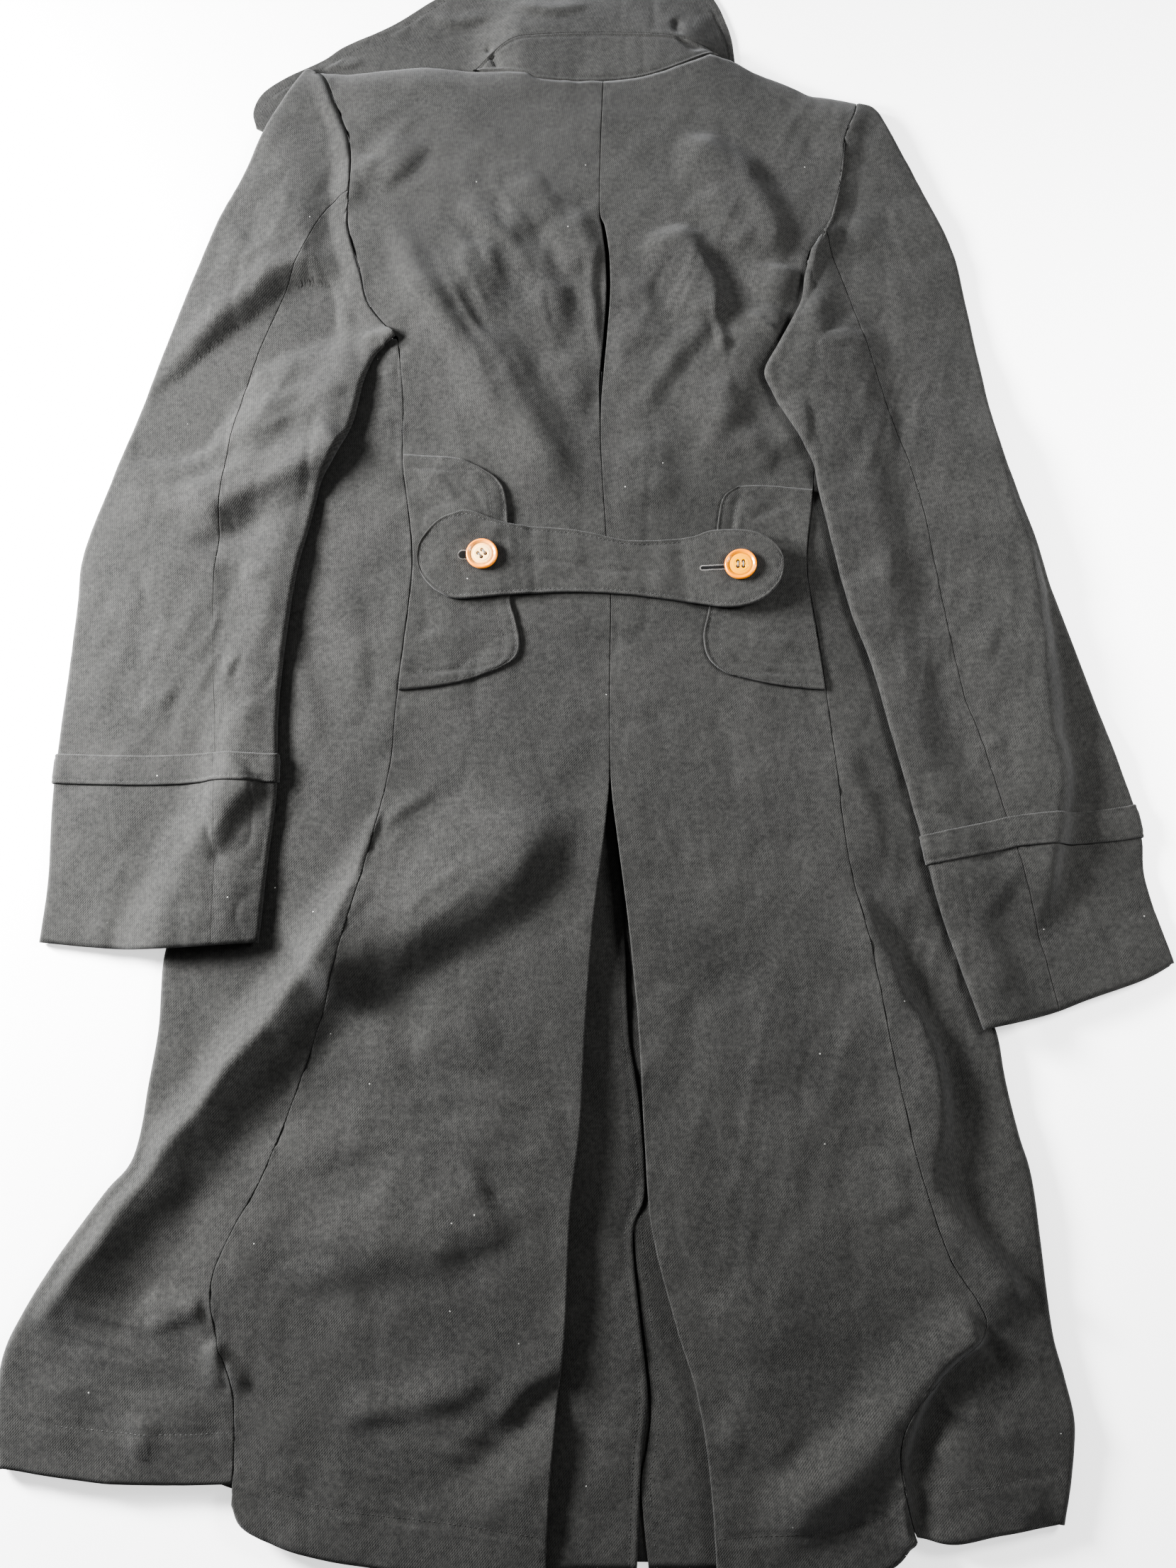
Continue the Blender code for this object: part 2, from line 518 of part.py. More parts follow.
def back_panel(side, sign):
    """Half of the back: from the centre seam to the armhole and princess seam."""
    outer_line, _ = body_rows(side)
    centre_line = centre_rows(side)
    neck = resample(spline(NECK[side]), np.linspace(0, 1, BACK_COLUMNS[0] + 1))
    shoulder = resample(spline(SHOULDER[side]), np.linspace(0, 1, BACK_COLUMNS[1] + 1))
    top = np.vstack([neck, shoulder[1:]])
    hem = resample(spline(BACK_HEM[side]), line_shares(top))
    centre_gap = centre_line + side_normals(centre_line) * sign * SEAM / 2
    outer_gap = outer_line - side_normals(outer_line) * sign * SEAM / 2
    top[0], hem[0] = centre_gap[0], centre_gap[-1]
    top[-1], hem[-1] = outer_gap[0], outer_gap[-1]
    plan = coons(top, hem, centre_gap, outer_gap)
    height = body_top(plan[..., 0], plan[..., 1])
    return np.dstack([plan, height])


def nose(plan_edge, inward, top, bottom, steps=NOSE_STEPS):
    """The rounded fold between an upper and a lower layer: half an ellipse
    that reaches the edge line, from the upper height to the lower one."""
    angle = np.linspace(math.pi / 2, -math.pi / 2, steps + 1)
    radius = nose_reach(top, bottom)
    middle = (top + bottom) / 2
    half = (top - bottom) / 2
    out = radius[:, None] * (1 - np.cos(angle))
    plan = plan_edge[:, None] + inward[:, None] * out[..., None]
    z = middle[:, None] + half[:, None] * np.sin(angle)
    return np.dstack([plan, z])


def nose_reach(top, bottom):
    """How far the fold stands out past the two layers it joins."""
    return 1.2 + 0.45 * (top - bottom)


def side_rows(side):
    """Points down the princess seam below the armhole, and down the side fold."""
    outer_line, arm_last = body_rows(side)
    seam_line = outer_line[arm_last:].copy()
    down = SIDE_HEM[side][0][1]
    last, before = seam_line[-1], seam_line[-2]
    seam_line[-1] = before + (last - before) * (down - before[1]) / (last[1] - before[1])
    edge_line = resample(spline(SIDE_EDGE[side]), np.linspace(0, 1, LOWER_ROWS + 1))
    return seam_line, edge_line


def side_turn_line(edge_line, inward, reach):
    """Where the side panel ends under the coat and the front panel starts."""
    return edge_line + inward * (reach + SIDE_TURN)[:, None]


def side_panel(side, sign):
    """From the princess seam over the side fold to the hidden side seam."""
    seam_line, edge_line = side_rows(side)
    seam_gap = seam_line + side_normals(seam_line) * sign * SEAM / 2
    seam_gap[0] += (sign * 0.4, 1.2)
    inward = -side_normals(edge_line) * sign
    probe = edge_line + inward * 5
    top = body_top(probe[:, 0], probe[:, 1])
    reach = nose_reach(top, 0 * top)
    fold_line = edge_line + inward * reach[:, None]
    fold_z = body_top(fold_line[:, 0], fold_line[:, 1])
    hem = resample(spline(SIDE_HEM[side]), np.linspace(0, 1, SIDE_COLUMNS + 1))
    hem[0], hem[-1] = seam_gap[-1], fold_line[-1]
    head = seam_gap[0] + (fold_line[0] - seam_gap[0]) * np.linspace(0, 1, SIDE_COLUMNS + 1)[:, None]
    plan = coons(head, hem, seam_gap, fold_line)
    upper = np.dstack([plan, body_top(plan[..., 0], plan[..., 1])])
    turn = nose(edge_line, inward, fold_z, 0 * fold_z)
    last = side_turn_line(edge_line, inward, reach)
    lower = np.dstack([last[:, None], np.zeros((len(last), 1))])
    return np.concatenate([upper, turn[:, 1:], lower], axis=1), last


def front_panel(side, sign, turn_line):
    """The front under the coat, from the armhole and side seam to its edge."""
    outer_line, arm_last = body_rows(side)
    arm = outer_line[FRONT_FROM:arm_last + 1]
    arm = arm - side_normals(outer_line)[FRONT_FROM:arm_last + 1] * sign * SEAM / 2
    turn = turn_line + side_normals(turn_line) * -sign * SEAM
    rows = np.vstack([arm, turn])
    top = spline(FRONT_TOP[side], 200)
    hem = spline(FRONT_HEM[side], 200)
    grid = []
    edge_down = np.linspace(FRONT_TOP[side][-1][1], FRONT_HEM[side][-1][1], len(rows))
    stops = (-125, -80, 0, OVERLAP) if side == "left" else (110, 40, -20, -OVERLAP)
    for k, (start, down) in enumerate(rows):
        v = k / (len(rows) - 1)
        middle = (start + stops[0]) / 2
        if abs(start) < abs(stops[0]) + 8:
            cols = np.concatenate([[start], start + (stops[1] - start) * np.array([.33, .66]),
                                   stops[1:]])
        else:
            cols = np.array([start, middle, *stops])
        share = (cols - start) / (stops[-1] - start)
        line = down + (edge_down[k] - down) * share
        straight_top = rows[0, 1] + (edge_down[0] - rows[0, 1]) * share
        straight_hem = rows[-1, 1] + (edge_down[-1] - rows[-1, 1]) * share
        order_top, order_hem = np.argsort(top[:, 0]), np.argsort(hem[:, 0])
        on_top = np.interp(cols, top[order_top, 0], top[order_top, 1])
        on_hem = np.interp(cols, hem[order_hem, 0], hem[order_hem, 1])
        line = line + (1 - v) ** 3 * (on_top - straight_top) + v ** 3 * (on_hem - straight_hem)
        line[0] = down
        grid.append(np.column_stack([cols, line]))
    plan = np.array(grid)
    lift = np.zeros(plan.shape[:2])
    if side == "left":
        lift = LIFT_STEP * smooth((plan[..., 0] + 120) / 38)
    return np.dstack([plan, lift])


def sleeve_grid(side, sign):
    """Both layers of a flattened sleeve in three columns of patches: the upper
    layer on each side of the back seam, and the lower layer."""
    outer = spline(SLEEVE_OUTER[side], 400)
    inner = spline(SLEEVE_INNER[side], 400)
    seam = spline(BACK_SEAM[side], 400)
    cuff = spline(CUFF_END[side], 200)
    rows, arm_last = body_rows(side)
    arm = rows[:SLEEVE_END[side] + 1]
    arm = arm + side_normals(rows)[:SLEEVE_END[side] + 1] * sign * SEAM
    split = SLEEVE_SPLIT[side]
    marks = []
    for line, end in ((outer, 0), (seam, 1), (inner, 2)):
        marks.append((share_at(line, BAND_TOP[side][end]), share_at(line, BAND_BOTTOM[side][end])))
    shares = []
    for first, second in marks:
        above = np.linspace(0, 1, SLEEVE_ROWS_ABOVE + 1) ** 1.15 * first
        below = np.linspace(second, 1, SLEEVE_ROWS_BELOW + 1)
        shares.append(np.concatenate([above, [(first + second) / 2], below]))
    left, middle, right = (resample(line, at) for line, at in zip((outer, seam, inner), shares))
    left[0], right[0], middle[0] = arm[0], arm[-1], arm[split]
    cut = share_at(cuff, middle[-1])
    middle[-1] = resample(cuff, [cut])[0]
    left[-1], right[-1] = cuff[0], cuff[-1]
    return left, right, middle, arm, cuff, cut, shares[1]


def sleeve_pieces(side, sign):
    """The two cut pieces of a sleeve as grids of outer points. Each runs from
    the visible back seam over its own edge fold to the hidden seam below."""
    left, right, middle, arm, cuff, cut, along = sleeve_grid(side, sign)
    split = SLEEVE_SPLIT[side]
    table = np.array(SLEEVE_THICKNESS)
    halves = (("top", left, arm[split::-1], (cut, 0)), ("under", right, arm[split:], (cut, 1)))
    pieces = {}
    for name, edge, head, (from_cut, to_cut) in halves:
        if len(head) < 4:
            head = resample(head, np.linspace(0, 1, 4))
        cols = len(head)
        inward = side_normals(edge) * (-sign if name == "top" else sign)
        thick = np.interp(along, table[:, 0], table[:, 1]) * 0.62
        reach = nose_reach(thick, 0 * thick)
        reach[0] = 0.6
        fold_line = edge + inward * reach[:, None]
        foot = resample(cuff, np.linspace(from_cut, to_cut, cols))
        head = head.copy()
        seam_side = side_normals(middle) * (sign if name == "top" else -sign) * SEAM / 2
        seam_line = middle + seam_side
        seam_line[0] = head[0] + (head[1] - head[0]) * 0.012
        head[0], foot[0] = seam_line[0], seam_line[-1]
        fold_line[0] = head[-1] + (head[-2] - head[-1]) * 0.03
        head[-1], foot[-1] = fold_line[0], fold_line[-1]
        plan = coons(head, foot, seam_line, fold_line)
        share = np.repeat(along[:, None], cols, 1)
        across_share = np.repeat(np.linspace(0.5, 0.05, cols)[None], len(edge), 0)
        top = sleeve_top(side, plan[..., 0], plan[..., 1], share, across_share)
        upper = np.dstack([plan, top])
        low_fold = sleeve_under(side, fold_line[:, 0], fold_line[:, 1])
        low_fold = np.minimum(low_fold, top[:, -1] - 2 * CLOTH - 1.2)
        bend = nose(edge, inward, top[:, -1], low_fold)
        bend[0, :, :2] = fold_line[0] - inward[0] * np.array([0, .3, .3, 0])[:, None]
        hidden = (left + right) / 2
        hidden = hidden + (arm[split] - hidden[0]) * (1 - along[:, None]) ** 3
        hidden = hidden + side_normals(hidden) * (sign if name == "top" else -sign) * SEAM / 2
        hidden[0] = head[0]
        under_head, under_foot = head[::-1].copy(), resample(cuff, [0 if name == "top" else 1, .5])
        under_foot = under_foot[0] + (hidden[-1] - under_foot[0]) * line_shares(under_head)[:, None]
        under_head[0], under_foot[0] = fold_line[0], fold_line[-1]
        under_head[-1], under_foot[-1] = hidden[0], hidden[-1]
        inside = coons(under_head, under_foot, fold_line, hidden)[:, 1:]
        lower = np.dstack([inside, sleeve_under(side, inside[..., 0], inside[..., 1])])
        pieces[name] = np.concatenate([upper, bend[:, 1:], lower], axis=1)
    return pieces


def lowest_under(insides, plan, reach):
    """The lowest facet of the given inner walls within reach of each point
    of a plan grid, or infinity where there is none."""
    flipped = [inside * (1, 1, -1) for inside in insides]
    lowest = np.full(plan.shape[:2], np.inf)
    for angle in np.linspace(0, 2 * math.pi, 8, endpoint=False):
        for far in (0, reach):
            spot = plan + far * np.array([math.cos(angle), math.sin(angle)])
            found = -facet_height(flipped, spot[..., 0], spot[..., 1])
            lowest = np.minimum(lowest, found.reshape(lowest.shape))
    return lowest


def pleat_underlay(insides):
    """The cloth behind the slit of the centre pleat, sewn up to the back on
    both sides and hollow in the middle."""
    down = np.linspace(*PLEAT_ENDS, 9)[:, None]
    offset = PLEAT_HALF * np.array([-1, -.6, -.25, .25, .6, 1])[None]
    across = PLEAT_CENTRE + offset + 0 * down
    down = down + 0 * offset
    under = lowest_under(insides, np.dstack([across, down]), UNDER_REACH) - LAY
    near_end = np.minimum(down - PLEAT_ENDS[0], PLEAT_ENDS[1] - down) / 60
    dip = PLEAT_DIP * (1 - smooth(np.abs(offset) / PLEAT_HALF)) * smooth(near_end)
    top = np.dstack([across, down, under - dip])
    return top, top - (0, 0, CLOTH)


def vent_underlay(side, sign, insides):
    """The extension of one back panel under the open vent. It hangs from the
    panel's underside and lies on the fronts beside the vent's edge."""
    down = np.linspace(*UNDERLAY_ENDS, 17)
    panel_line = spline(CENTRE_BACK[side], 400)
    panel = np.interp(down, panel_line[:, 1], panel_line[:, 0])
    edge_line = spline(UNDERLAY_LEFT_EDGE if side == "left" else UNDERLAY_RIGHT_EDGE, 200)
    free = np.interp(down, edge_line[:, 1], edge_line[:, 0])
    root = panel + sign * UNDERLAY_REACH
    stops = np.array([0, .22, .45, .7, 1])
    across = root[:, None] + (free - root)[:, None] * stops
    rows = down[:, None] + 0 * across
    under = lowest_under(insides, np.dstack([across, rows]), UNDER_REACH) - LAY
    fall = smooth(np.abs(across - root[:, None]) / (UNDERLAY_REACH + 4))
    level = np.minimum(UNDERLAY_TOP[side], under)
    under = np.where(np.isfinite(under), under, level)
    top = np.dstack([across, rows, under + (level - under) * fall])
    return top, top - (0, 0, CLOTH)


def side_tab(side, sign, back):
    """A tab sewn on the back beside the princess seam, made from the back's
    own facets, moved out."""
    seam = spline(PRINCESS[side], 400)
    upper, lower = TAB_TOP[side], TAB_BOTTOM[side]
    down = np.linspace(upper[0][1], lower[0][1], 8)
    edge = np.column_stack([np.interp(down, seam[:, 1], seam[:, 0]) - sign * TAB_EDGE_GAP, down])
    free = resample(spline(TAB_FREE[side]), np.linspace(0, 1, 8))
    head = resample(spline(upper), np.linspace(0, 1, 6))
    foot = resample(spline(lower), np.linspace(0, 1, 6))
    head[0], foot[0], head[-1], foot[-1] = edge[0], edge[-1], free[0], free[-1]
    plan = coons(head, foot, edge, free)
    rest = facet_height([back], plan[..., 0], plan[..., 1]).reshape(plan.shape[:2])
    bottom = np.dstack([plan, rest + LAY])
    return bottom + (0, 0, CLOTH), bottom


def half_belt(carriers):
    """The belt across the back: it rests on the highest cloth near each of
    its points, and its right end stands up."""
    shares = (1 - np.cos(np.linspace(0, math.pi, 19))) / 2
    upper = resample(spline(BELT_UPPER), shares)
    lower = resample(spline(BELT_LOWER), shares)
    mix = np.linspace(0, 1, 6)[:, None, None]
    plan = upper[None] * (1 - mix) + lower[None] * mix
    rest = np.full(plan.shape[:2], -np.inf)
    for angle in np.linspace(0, 2 * math.pi, 8, endpoint=False):
        for reach in (0, BELT_REST / 2, BELT_REST):
            spot = plan + reach * np.array([math.cos(angle), math.sin(angle)])
            found = facet_height(carriers, spot[..., 0], spot[..., 1])
            rest = np.maximum(rest, found.reshape(rest.shape))
    rest = rest.max(axis=0)[None] * 0.5 + rest * 0.5
    rest = np.maximum(rest, rest.max(axis=0)[None] - 0.4)
    lift = BELT_LIFT * smooth((plan[..., 0] - BELT_LIFT_FROM[0]) / BELT_LIFT_FROM[1])
    bottom = np.dstack([plan, rest + LAY + lift])
    return bottom + (0, 0, CLOTH), bottom


def leaf_edge():
    """The leaf's lower edge, which the stand's upper edge follows."""
    return resample(spline(LEAF_LOWER), np.linspace(0, 1, LEAF_COLUMNS))


def collar_stand():
    """The band between the neck seam and the collar's leaf. It runs out to a
    point where the leaf goes in under the left shoulder."""
    edge = leaf_edge()
    line = spline(STAND_SEAM)
    between = edge[(edge[:, 0] > line[0, 0] + 2) & (edge[:, 0] < line[-1, 0] - 2), 0]
    across = np.sort(np.concatenate([line[:1, 0], between, [NECK_CORNER], line[-1:, 0]]))
    top = np.column_stack([across, np.interp(across, edge[:, 0], edge[:, 1]) + 2 * SEAM])
    seam = np.column_stack([across, np.interp(across, line[:, 0], line[:, 1])])
    seam[0, 1] = top[0, 1] + STAND_TIP
    mix = np.linspace(0, 1, 4)[:, None, None]
    plan = top[None] * (1 - mix) + seam[None] * mix
    neck = body_top(seam[:, 0], seam[:, 1] + 1.5)
    height = leaf_height(plan[..., 0]) * (1 - mix[..., 0]) + neck[None] * mix[..., 0]
    outer = np.dstack([plan, height])
    return outer, outer - (0, 0, CLOTH)


def leaf_height(across):
    """Height of the leaf along the stand: level behind the neck, falling to
    the table on both sides, where it goes in under the shoulders."""
    left, right, run = LEAF_FALLS
    keep = smooth((across - left + run) / run) * smooth((right + run - across) / run)
    return CLOTH + (LEAF_TOP - CLOTH) * keep


def collar_leaf():
    """The collar's leaf, spread out past the neck with its edge on the table."""
    lower = leaf_edge()
    outer_edge = resample(spline(LEAF_OUTER), np.linspace(0, 1, LEAF_COLUMNS))
    mix = np.linspace(0, 1, 6)[:, None, None]
    plan = outer_edge[None] * (1 - mix) + lower[None] * mix
    start = leaf_height(lower[:, 0])[None]
    fall = smooth(mix[..., 0] * 1.05 - 0.05)
    height = CLOTH + (start - CLOTH) * fall
    outer = np.dstack([plan, height])
    return outer, outer - (0, 0, CLOTH)


def cuff_band(side, sign, top_piece, under_piece):
    """The strap round a cuff, made from the sleeve's own points, moved out.
    It ends in the folds at both edges of the sleeve."""
    rows = slice(SLEEVE_ROWS_ABOVE, SLEEVE_ROWS_ABOVE + 3)
    first, second = top_piece[rows], under_piece[rows]
    ends = [(piece.shape[1] - NOSE_STEPS + 1) // 2 for piece in (top_piece, under_piece)]
    join = (first[:, :1] + second[:, :1]) / 2
    run = np.concatenate([first[:, ends[0]:0:-1], join, second[:, 1:ends[1] + 1]], axis=1)
    normal = surface_normals(run) * -sign
    return run + normal * (LAY + CLOTH), run + normal * LAY


def button(name, spot, belt, plastic, collection, cutters):
    """A rimmed four-hole button, turned from its profile and drilled, seated
    on the belt and tilted as the belt lies there."""
    ring = np.linspace(0, 2 * math.pi, 12, endpoint=False)
    around = np.array(spot) + 0.97 * BUTTON_RADIUS * np.column_stack([np.cos(ring), np.sin(ring)])
    inside = np.array(spot) + 0.5 * BUTTON_RADIUS * np.column_stack([np.cos(ring), np.sin(ring)])
    spots = np.vstack([around, inside, [spot]])
    z = facet_height([belt], spots[:, 0], spots[:, 1])
    fit = np.linalg.lstsq(np.column_stack([spots - spot, np.ones(len(spots))]), z, rcond=None)[0]
    above = (z - (spots - spot) @ fit[:2] - fit[2]).max()
    normal = Vector((-fit[0], fit[1], 1)).normalized()
    r, h = BUTTON_RADIUS * MM, BUTTON_HEIGHT * MM
    rim, dish = BUTTON_RIM * MM, BUTTON_DISH * MM
    profile = [(0, h - dish), (r - 2 * rim, h - dish), (r - rim, h - 0.15 * dish),
               (r - 0.5 * rim, h), (r - 0.12 * rim, h - 0.3 * rim), (r, 0.5 * h),
               (r - 0.25 * rim, 0.2 * h), (r - rim, 0), (0, 0)]
    mesh = bpy.data.meshes.new(name)
    mesh.from_pydata([(x, 0, z) for x, z in profile], [(i, i + 1) for i in range(8)], [])
    mesh.materials.append(plastic)
    obj = bpy.data.objects.new(name, mesh)
    obj.location = place((*spot, fit[2] + above + LAY))
    obj.rotation_euler = Vector((0, 0, 1)).rotation_difference(normal).to_euler()
    collection.objects.link(obj)
    turn = obj.modifiers.new("turned", "SCREW")
    turn.axis = "Z"
    turn.steps = turn.render_steps = 22
    turn.use_merge_vertices = True
    turn.merge_threshold = 1e-5
    work = bmesh.new()
    for k in range(4):
        angle = math.pi / 4 + k * math.pi / 2
        at = Vector((math.cos(angle), math.sin(angle), 0)) * BUTTON_HOLE_RING * MM
        matrix = Matrix.Translation(at + Vector((0, 0, h / 2)))
        bmesh.ops.create_cone(work, cap_ends=True, segments=8, radius1=BUTTON_HOLE * MM,
                              radius2=BUTTON_HOLE * MM, depth=3 * h, matrix=matrix)
    drill_mesh = bpy.data.meshes.new("drill_" + name)
    work.to_mesh(drill_mesh)
    work.free()
    drill = bpy.data.objects.new("drill_" + name, drill_mesh)
    drill.location, drill.rotation_euler = obj.location, obj.rotation_euler
    drill.hide_render = True
    drill.display_type = "WIRE"
    cutters.objects.link(drill)
    cut = obj.modifiers.new("thread holes", "BOOLEAN")
    cut.operation = "DIFFERENCE"
    cut.object = drill
    return obj


def main():
    for obj in list(bpy.data.objects):
        bpy.data.objects.remove(obj, do_unlink=True)
    coat = bpy.data.collections.new("trench_coat")
    bpy.context.scene.collection.children.link(coat)
    cutters = bpy.data.collections.new("cutters")
    bpy.context.scene.collection.children.link(cutters)
    twill = colour_material("navy black twill", (0.035, 0.037, 0.042), 0.9)
    horn = colour_material("copper brown plastic", (0.55, 0.22, 0.09), 0.3)
    grids = {}
    insides = []
    for side, sign in (("left", -1), ("right", 1)):
        back = back_panel(side, sign)
        grids["back_" + side] = back
        insides.append(wall(back, sign * 1.0, 1, 1))
        add_wall("back_" + side, back, insides[-1], twill, coat)
        panel, turn_line = side_panel(side, sign)
        grids["side_panel_" + side] = panel
        add_wall("side_panel_" + side, panel, wall(panel, sign * 1.0, 1, -1), twill, coat)
        front = front_panel(side, sign, turn_line)
        add_wall("front_" + side, front, front + (0, 0, CLOTH), twill, coat)
        for name, piece in sleeve_pieces(side, sign).items():
            up = sign * (1.0 if name == "top" else -1.0)
            grids[name + "_sleeve_" + side] = piece
            inside = wall(piece, up, 1, -1, flat_head=True)
            add_wall(name + "_sleeve_" + side, piece, inside, twill, coat)
        band = cuff_band(side, sign, grids["top_sleeve_" + side], grids["under_sleeve_" + side])
        add_wall("cuff_band_" + side, *band, twill, coat)
        tab = side_tab(side, sign, back)
        grids["side_tab_" + side] = tab[0]
        add_wall("side_tab_" + side, *tab, twill, coat)
    for side, sign in (("left", -1), ("right", 1)):
        add_wall("vent_underlay_" + side, *vent_underlay(side, sign, insides), twill, coat)
    add_wall("pleat_underlay", *pleat_underlay(insides), twill, coat)
    add_wall("collar_stand", *collar_stand(), twill, coat)
    add_wall("collar_leaf", *collar_leaf(), twill, coat)
    carriers = [grids[name + side] for name in ("back_", "side_tab_") for side in ("left", "right")]
    belt = half_belt(carriers)
    add_wall("half_belt", *belt, twill, coat)
    for side, spot in BUTTON_AT.items():
        button("button_" + side, spot, belt[0], horn, coat, cutters)


main()
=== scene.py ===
# %% [markdown]
# # A trench coat laid on its front
#
# The coat lies flat with its back up: two back panels, side panels that turn
# under at the sides, two sleeves spread out, a collar opened past the neck and
# a half belt with two buttons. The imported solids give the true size. Here each
# panel is made again as a thin cloth wall on the same outline, with the creases,
# seams and stitches that a step away already shows.

# %% Load the frame
import bpy
import math
import numpy as np
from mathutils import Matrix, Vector


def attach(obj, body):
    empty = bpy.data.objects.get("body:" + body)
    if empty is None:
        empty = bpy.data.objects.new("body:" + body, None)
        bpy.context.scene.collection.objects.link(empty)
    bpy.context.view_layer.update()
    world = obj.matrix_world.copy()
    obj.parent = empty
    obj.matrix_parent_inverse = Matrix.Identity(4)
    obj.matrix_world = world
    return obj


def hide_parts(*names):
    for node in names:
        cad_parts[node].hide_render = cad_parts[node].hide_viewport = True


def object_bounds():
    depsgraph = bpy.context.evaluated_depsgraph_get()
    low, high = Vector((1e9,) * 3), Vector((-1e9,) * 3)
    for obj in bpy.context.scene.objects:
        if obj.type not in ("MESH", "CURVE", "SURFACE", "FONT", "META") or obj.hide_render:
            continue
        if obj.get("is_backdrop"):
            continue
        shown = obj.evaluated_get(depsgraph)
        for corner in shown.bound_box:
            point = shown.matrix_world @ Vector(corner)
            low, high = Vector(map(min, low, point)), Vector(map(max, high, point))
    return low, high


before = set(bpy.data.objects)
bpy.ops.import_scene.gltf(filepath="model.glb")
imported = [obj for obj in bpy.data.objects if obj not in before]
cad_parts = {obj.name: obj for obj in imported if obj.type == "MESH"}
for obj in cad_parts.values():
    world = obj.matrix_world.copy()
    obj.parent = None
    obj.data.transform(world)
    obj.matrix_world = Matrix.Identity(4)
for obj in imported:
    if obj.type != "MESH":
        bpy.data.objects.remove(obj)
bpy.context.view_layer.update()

# %% [markdown]
# ## The pattern's own millimetres
#
# A tailor measures from the nape: across to each side and down to the hem. All
# outlines below are written that way, in millimetres, and one function turns
# them into metres around the middle of the coat.

# %% From pattern millimetres to metres
MM = 0.001
MIDDLE = (-0.4, 440.5)  # the pattern's point over the origin
CLOTH = 1.3  # thickness of the twill as it shows at an edge
SEAM = 0.36  # space between two panels at a seam
SIDES = {"left": -1, "right": 1}  # the sign of the distance across


def place(points):
    """Metres from pattern millimetres: the distance across from the middle
    becomes X, the distance up the coat from it becomes Y, and Z is kept."""
    points = np.asarray(points, float)
    return np.stack([points[..., 0] - MIDDLE[0], MIDDLE[1] - points[..., 1],
                     points[..., 2]], axis=-1) * MM


print("nape at", place((0, 0, 12)))

# %% [markdown]
# ## Curves
#
# Every outline is a few points with a smooth curve through them. A Catmull-Rom
# curve passes through its points, so a number in a table is a place on the coat.

# %% Curves in the plan
STRETCH_STEPS = 12  # places worked out between two points


def smooth(t):
    """A step from 0 to 1 with soft ends: three times t squared less twice t cubed."""
    t = np.clip(t, 0.0, 1.0)
    return t * t * (3.0 - 2.0 * t)


def line_shares(line):
    """How far along a line each of its points lies, from 0 to 1."""
    at = np.concatenate([[0], np.cumsum(np.hypot(*np.diff(line, axis=0).T))])
    return at / at[-1]


def resample(line, shares):
    """The points of a line at the given shares of its length."""
    line = np.asarray(line, float)
    at = line_shares(line)
    return np.column_stack([np.interp(shares, at, line[:, 0]), np.interp(shares, at, line[:, 1])])


def spline(points, count=240):
    """A Catmull-Rom curve through the points, evenly spaced: each stretch is a
    cubic whose slope at a point is half the step between its two neighbours."""
    p = np.array(points, float)
    p = np.vstack([2 * p[0] - p[1], p, 2 * p[-1] - p[-2]])
    t = np.linspace(0, 1, STRETCH_STEPS, endpoint=False)[:, None]
    a, b, c, d = (p[k:len(p) - 3 + k, None] for k in range(4))
    dense = 0.5 * (2 * b + (c - a) * t + (2 * a - 5 * b + 4 * c - d) * t ** 2
                   + (3 * b - a - 3 * c + d) * t ** 3)
    return resample(np.vstack([dense.reshape(-1, 2), p[-2][None]]), np.linspace(0, 1, count))


arc = spline([(0, 100), (50, 87), (87, 50), (100, 0)])
print("a quarter circle's length:", round(float(np.hypot(*np.diff(arc, axis=0).T).sum()), 1), "mm")

# %% Places beside a curve
def share_at(line, point):
    """The share of a line's length at its point nearest to the given one."""
    return line_shares(line)[np.argmin(np.hypot(*(line - point).T))]


def nearest(line, across, down):
    """Signed distance from a line, positive to its right for one that runs
    down, and the share of its length at the nearest point."""
    start, run = line[:-1], np.diff(line, axis=0)
    length = np.hypot(run[:, 0], run[:, 1])
    flat_a, flat_d = np.ravel(across), np.ravel(down)
    da = flat_a[:, None] - start[:, 0]
    dd = flat_d[:, None] - start[:, 1]
    t = np.clip((da * run[:, 0] + dd * run[:, 1]) / length ** 2, 0, 1)
    off = np.hypot(da - t * run[:, 0], dd - t * run[:, 1])
    best = np.argmin(off, axis=1)
    pick = np.arange(len(flat_a)), best
    cross = da[pick] * run[best, 1] - dd[pick] * run[best, 0]
    at = np.concatenate([[0], np.cumsum(length)])
    share = (at[best] + t[pick] * length[best]) / at[-1]
    gap = np.where(cross >= 0, 1, -1) * off[pick]
    return gap.reshape(np.shape(across)), share.reshape(np.shape(across))


def side_normals(line):
    """Unit normals of a line in plan, to its right for one that runs down."""
    run = np.gradient(line, axis=0)
    run /= np.hypot(run[:, 0], run[:, 1])[:, None]
    return np.column_stack([run[:, 1], -run[:, 0]])


print("share of the arc at its second point:", round(float(share_at(arc, (50, 87))), 2))

# %% [markdown]
# ## The cut
#
# These are the outlines of the panels as they lie. Neighbours share one line,
# so a seam closes by itself. Left is the wearer's left, at negative across.

